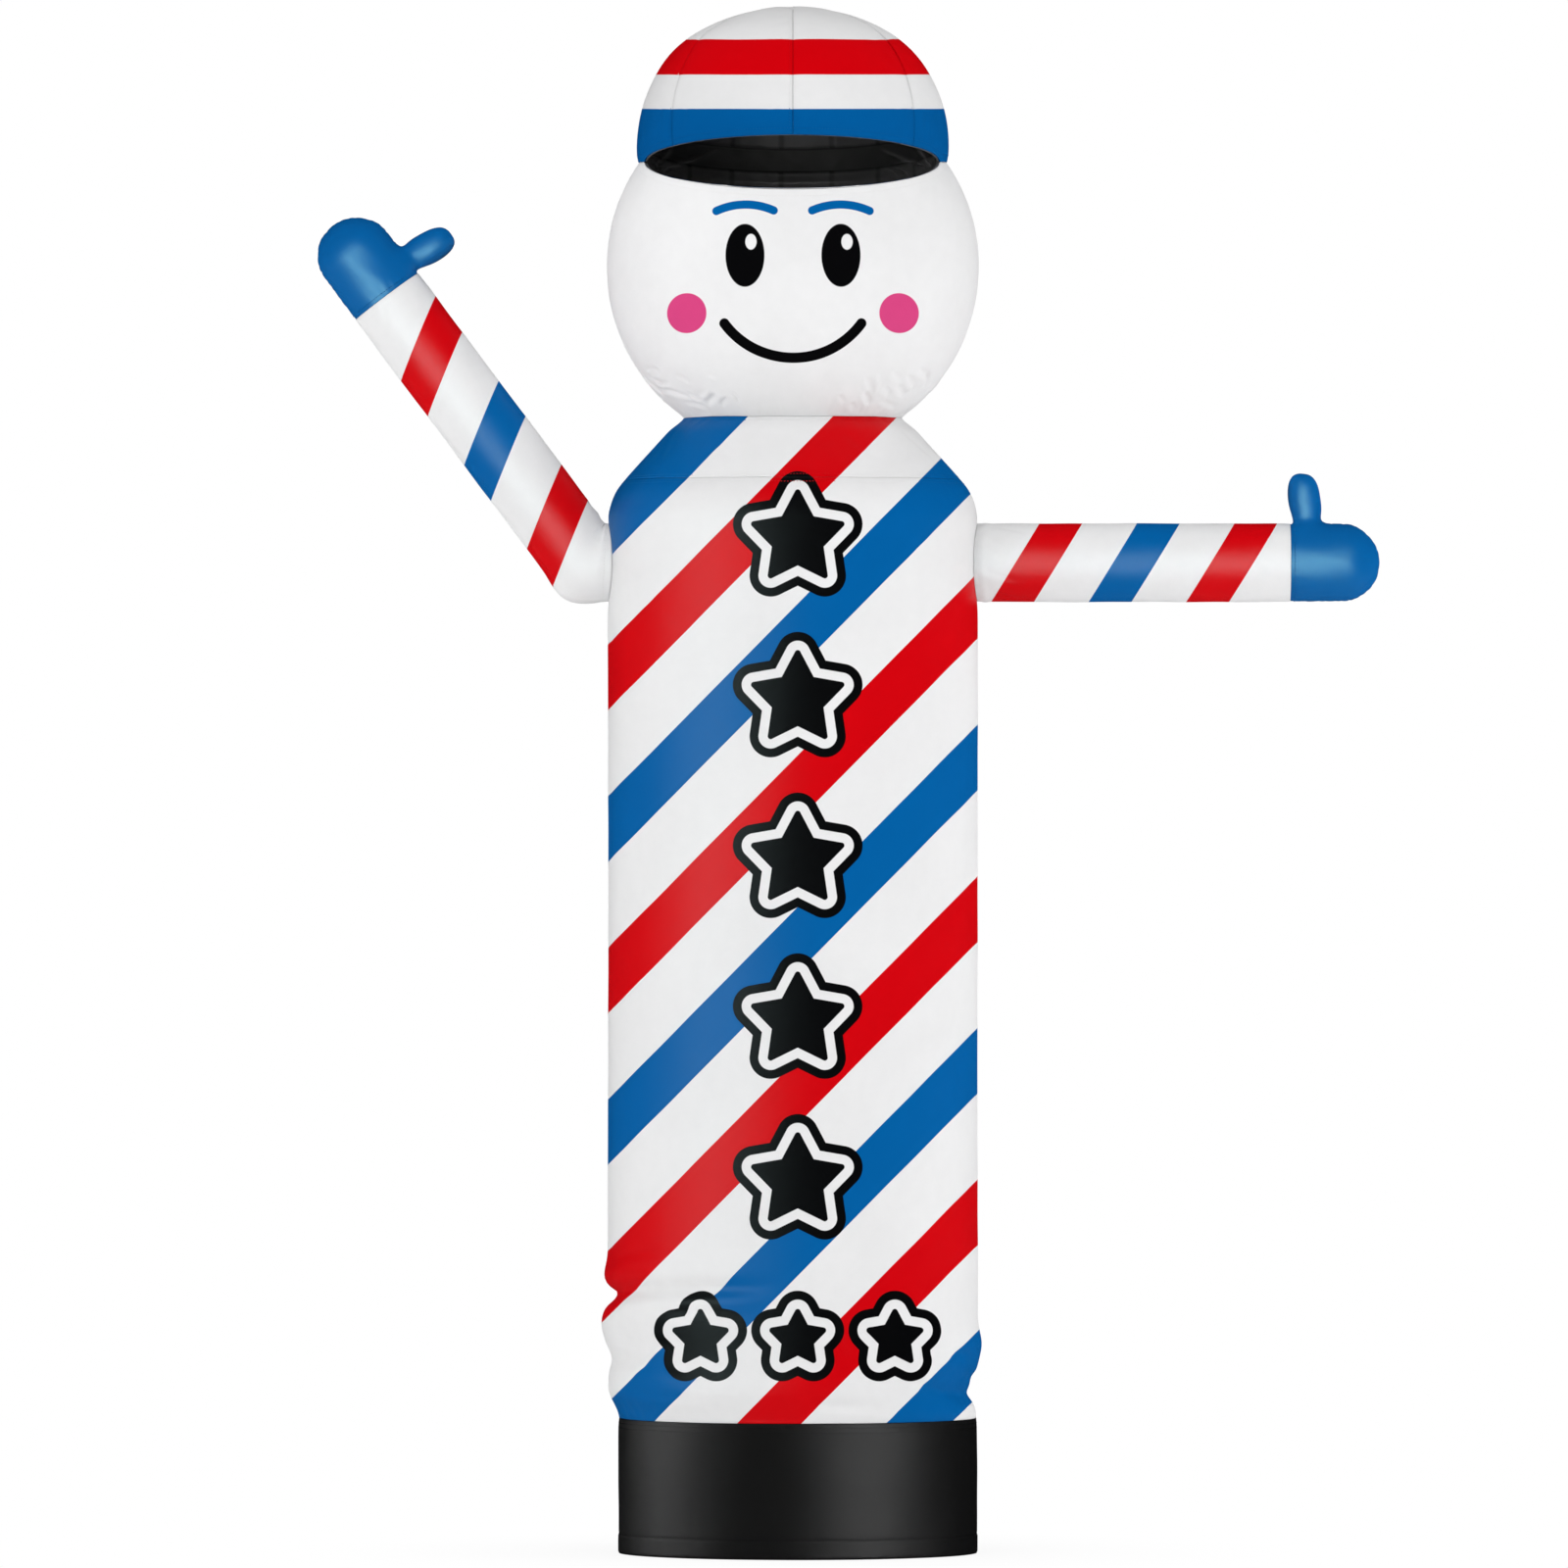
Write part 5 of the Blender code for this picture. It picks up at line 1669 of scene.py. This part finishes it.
def make_mitts(materials):
    shape = fine_mitt()
    make_mitt("level", shape, Matrix.Translation((LEVEL_CUFF_X, 0, SLEEVE_Z)), 121, materials)
    pivot, down, out = raised_frame()
    place = pivot + down * (BEND_RADIUS + SLEEVE_RADIUS) + out * RAISED_LENGTH
    turn = Matrix.Rotation(math.pi, 4, "Z") @ Matrix.Rotation(-RAISE, 4, "Y")
    make_mitt("raised", shape, Matrix.Translation(Vector(place)) @ turn, 131, materials)


# ---------------------------------------------------------------- studio


def aim(thing, place, target):
    thing.location = place
    thing.rotation_euler = (Vector(target) - Vector(place)).to_track_quat("-Z", "Y").to_euler()


def soft_light(name, azimuth, distance, height, wide, tall, brightness, looks_at=None, glossy=False):
    """A plain rectangular soft light that looks at the figure's middle line, at an azimuth counted from the
    front towards +X. A glossy one only gives the cloth its sheen."""
    light = bpy.data.lights.new(name, "AREA")
    light.shape = "RECTANGLE"
    light.size, light.size_y = wide, tall
    light.energy = brightness * math.pi * wide * tall
    light.cycles.use_multiple_importance_sampling = False
    thing = bpy.data.objects.new(name, light)
    bpy.context.scene.collection.objects.link(thing)
    turn = math.radians(azimuth)
    place = (distance * math.sin(turn), -distance * math.cos(turn), height)
    aim(thing, place, (0, 0, height if looks_at is None else looks_at))
    thing.visible_camera = False
    thing.visible_glossy = glossy
    thing.visible_diffuse = not glossy
    return thing


def shine_on(light, pieces):
    """Keeps a light to some of the pieces."""
    group = bpy.data.collections.new(f"{light.name}_pieces")
    for piece in pieces:
        group.objects.link(bpy.data.objects[piece])
    light.light_linking.receiver_collection = group


def make_lights():
    # Name, azimuth, distance, height, width, its own height, brightness.
    soft_light("key_light", -35, 3.6, 1.35, 4.4, 2.7, 1.50)
    soft_light("side_light", 76, 3.6, 1.2, 2.4, 2.6, 3.0)
    soft_light("front_top_light", 0, 2.6, 3.8, 3.0, 1.8, 2.5, looks_at=1.4)
    soft_light("top_light", 0, 0.05, 4.6, 2.4, 2.4, 1.45, looks_at=0)
    soft_light("left_rim_light", -116, 3.6, 1.2, 1.8, 2.6, 2.4)
    soft_light("right_rim_light", 122, 3.6, 1.2, 1.8, 2.6, 2.0)
    soft_light("back_light", 180, 4.0, 2.4, 3.0, 2.4, 1.9, looks_at=1.0)
    fill = soft_light("head_fill", -84, 3.0, 1.75, 1.6, 1.6, 1.6)
    shine_on(fill, ("head_cloth",))
    fill = soft_light("shoulder_fill", -45, 3.0, 2.2, 2.0, 1.4, 0.75, looks_at=1.5)
    shine_on(fill, ("yoke_cloth",))
    sheen = soft_light("tube_sheen", -49, 3.6, 1.1, 3.0, 3.2, 20.0, glossy=True)
    shine_on(sheen, ("tube_cloth", "yoke_cloth"))
    for side, azimuth, distance, height in (("level", 16, 1.7, 1.26), ("raised", -26, 1.8, 1.20)):
        sheen = soft_light(f"{side}_sleeve_sheen", azimuth, distance, height, 1.1, 1.5, 37.5, glossy=True)
        shine_on(sheen, (f"{side}_sleeve_cloth", f"{side}_mitt_cloth"))
    lining_sheens = (("left", -72, 1.2, 8.0), ("middle", -5, 3.6, 2.8), ("right", 72, 1.2, 8.0))
    for side, azimuth, wide, brightness in lining_sheens:
        sheen = soft_light(f"lining_{side}_sheen", azimuth, 2.5, 1.8, wide, 0.8, brightness, glossy=True)
        shine_on(sheen, ("cap_lining_cloth", "head_facing"))
    for side, azimuth, brightness in (("left", -90, 3.2), ("right", 45, 5.0)):
        sheen = soft_light(f"collar_{side}_sheen", azimuth, 3.0, 0.5, 2.0, 1.4, brightness, glossy=True)
        shine_on(sheen, ("collar_cloth",))


AMBIENT = 0.22


def make_surroundings():
    """Plain white to the camera, and a soft light from all round to the cloth."""
    world = bpy.data.worlds.new("studio")
    bpy.context.scene.world = world
    world.use_nodes = True
    w = Wiring(world.node_tree)
    background = world.node_tree.nodes["Background"]
    background.inputs["Color"].default_value = (1, 1, 1, 1)
    seen = w.node("ShaderNodeLightPath").outputs["Is Camera Ray"]
    w.feed(background.inputs["Strength"], w.math("ADD", w.math("MULTIPLY", seen, 1.0 - AMBIENT), AMBIENT))
    world.cycles_visibility.glossy = False


FLOOR_RADIUS = 14
SHADOW = {"near": 0.24, "far": 0.75, "whitened": 0.86}  # from the figure's middle line, metres


def make_floor():
    """A pale floor with the figure's soft shadow near its foot. Farther off the camera sees it white."""
    bpy.ops.mesh.primitive_circle_add(vertices=96, radius=FLOOR_RADIUS, fill_type="NGON", location=(0, 0, 0))
    floor = bpy.context.object
    floor.name = "studio_floor"
    floor.visible_glossy = False
    material, w = new_material("pale_floor")
    shader = material.node_tree.nodes["Principled BSDF"]
    shader.inputs["Base Color"].default_value = (0.9, 0.9, 0.9, 1)
    shader.inputs["Emission Color"].default_value = (1, 1, 1, 1)
    shader.inputs["Emission Strength"].default_value = 0.18
    shader.inputs["Roughness"].default_value = 0.8
    shader.inputs["Specular IOR Level"].default_value = 0.1
    where = w.node("ShaderNodeTexCoord").outputs["Object"]
    off = w.node("ShaderNodeVectorMath", {"operation": "LENGTH"})
    w.feed(off.inputs[0], where)
    fade = w.node("ShaderNodeMapRange", {"interpolation_type": "SMOOTHSTEP"})
    spans = (off.outputs["Value"], SHADOW["near"], SHADOW["far"], SHADOW["whitened"], 1.0)
    for socket, value in zip(fade.inputs, spans):
        w.feed(socket, value)
    seen = w.node("ShaderNodeLightPath").outputs["Is Camera Ray"]
    glow = w.node("ShaderNodeEmission")
    mixed = w.node("ShaderNodeMixShader")
    share = w.math("MULTIPLY", fade.outputs[0], seen)
    for socket, value in zip(mixed.inputs, (share, shader.outputs[0], glow.outputs[0])):
        w.feed(socket, value)
    w.feed(material.node_tree.nodes["Material Output"].inputs["Surface"], mixed.outputs[0])
    floor.data.materials.append(material)


def make_camera():
    """Stands where the photo was taken from."""
    camera_data = bpy.data.cameras.new("camera")
    camera = bpy.data.objects.new("camera", camera_data)
    bpy.context.scene.collection.objects.link(camera)
    camera.location = (EYE_X, -FAR, EYE_Z)
    camera.rotation_euler = (math.pi / 2, 0, 0)
    camera_data.sensor_width = 36
    camera_data.lens = camera_data.sensor_width * FAR / VIEW_WIDE
    camera_data.clip_end = 200
    bpy.context.scene.camera = camera
    bpy.context.scene.view_settings.view_transform = "Standard"
    bpy.context.scene.view_settings.look = "None"


def main():
    materials = make_materials()
    make_collar(materials)
    make_tube(materials)
    make_yoke(materials)
    make_head(materials)
    make_head_facing(materials)
    for number in range(GORES):
        make_cap_panel(number, materials)
    make_cap_lining(materials)
    make_level_sleeve(materials)
    make_raised_sleeve(materials)
    make_mitts(materials)
    make_threads(materials)
    make_lights()
    make_surroundings()
    make_floor()
    make_camera()


main()
bpy.context.view_layer.update()
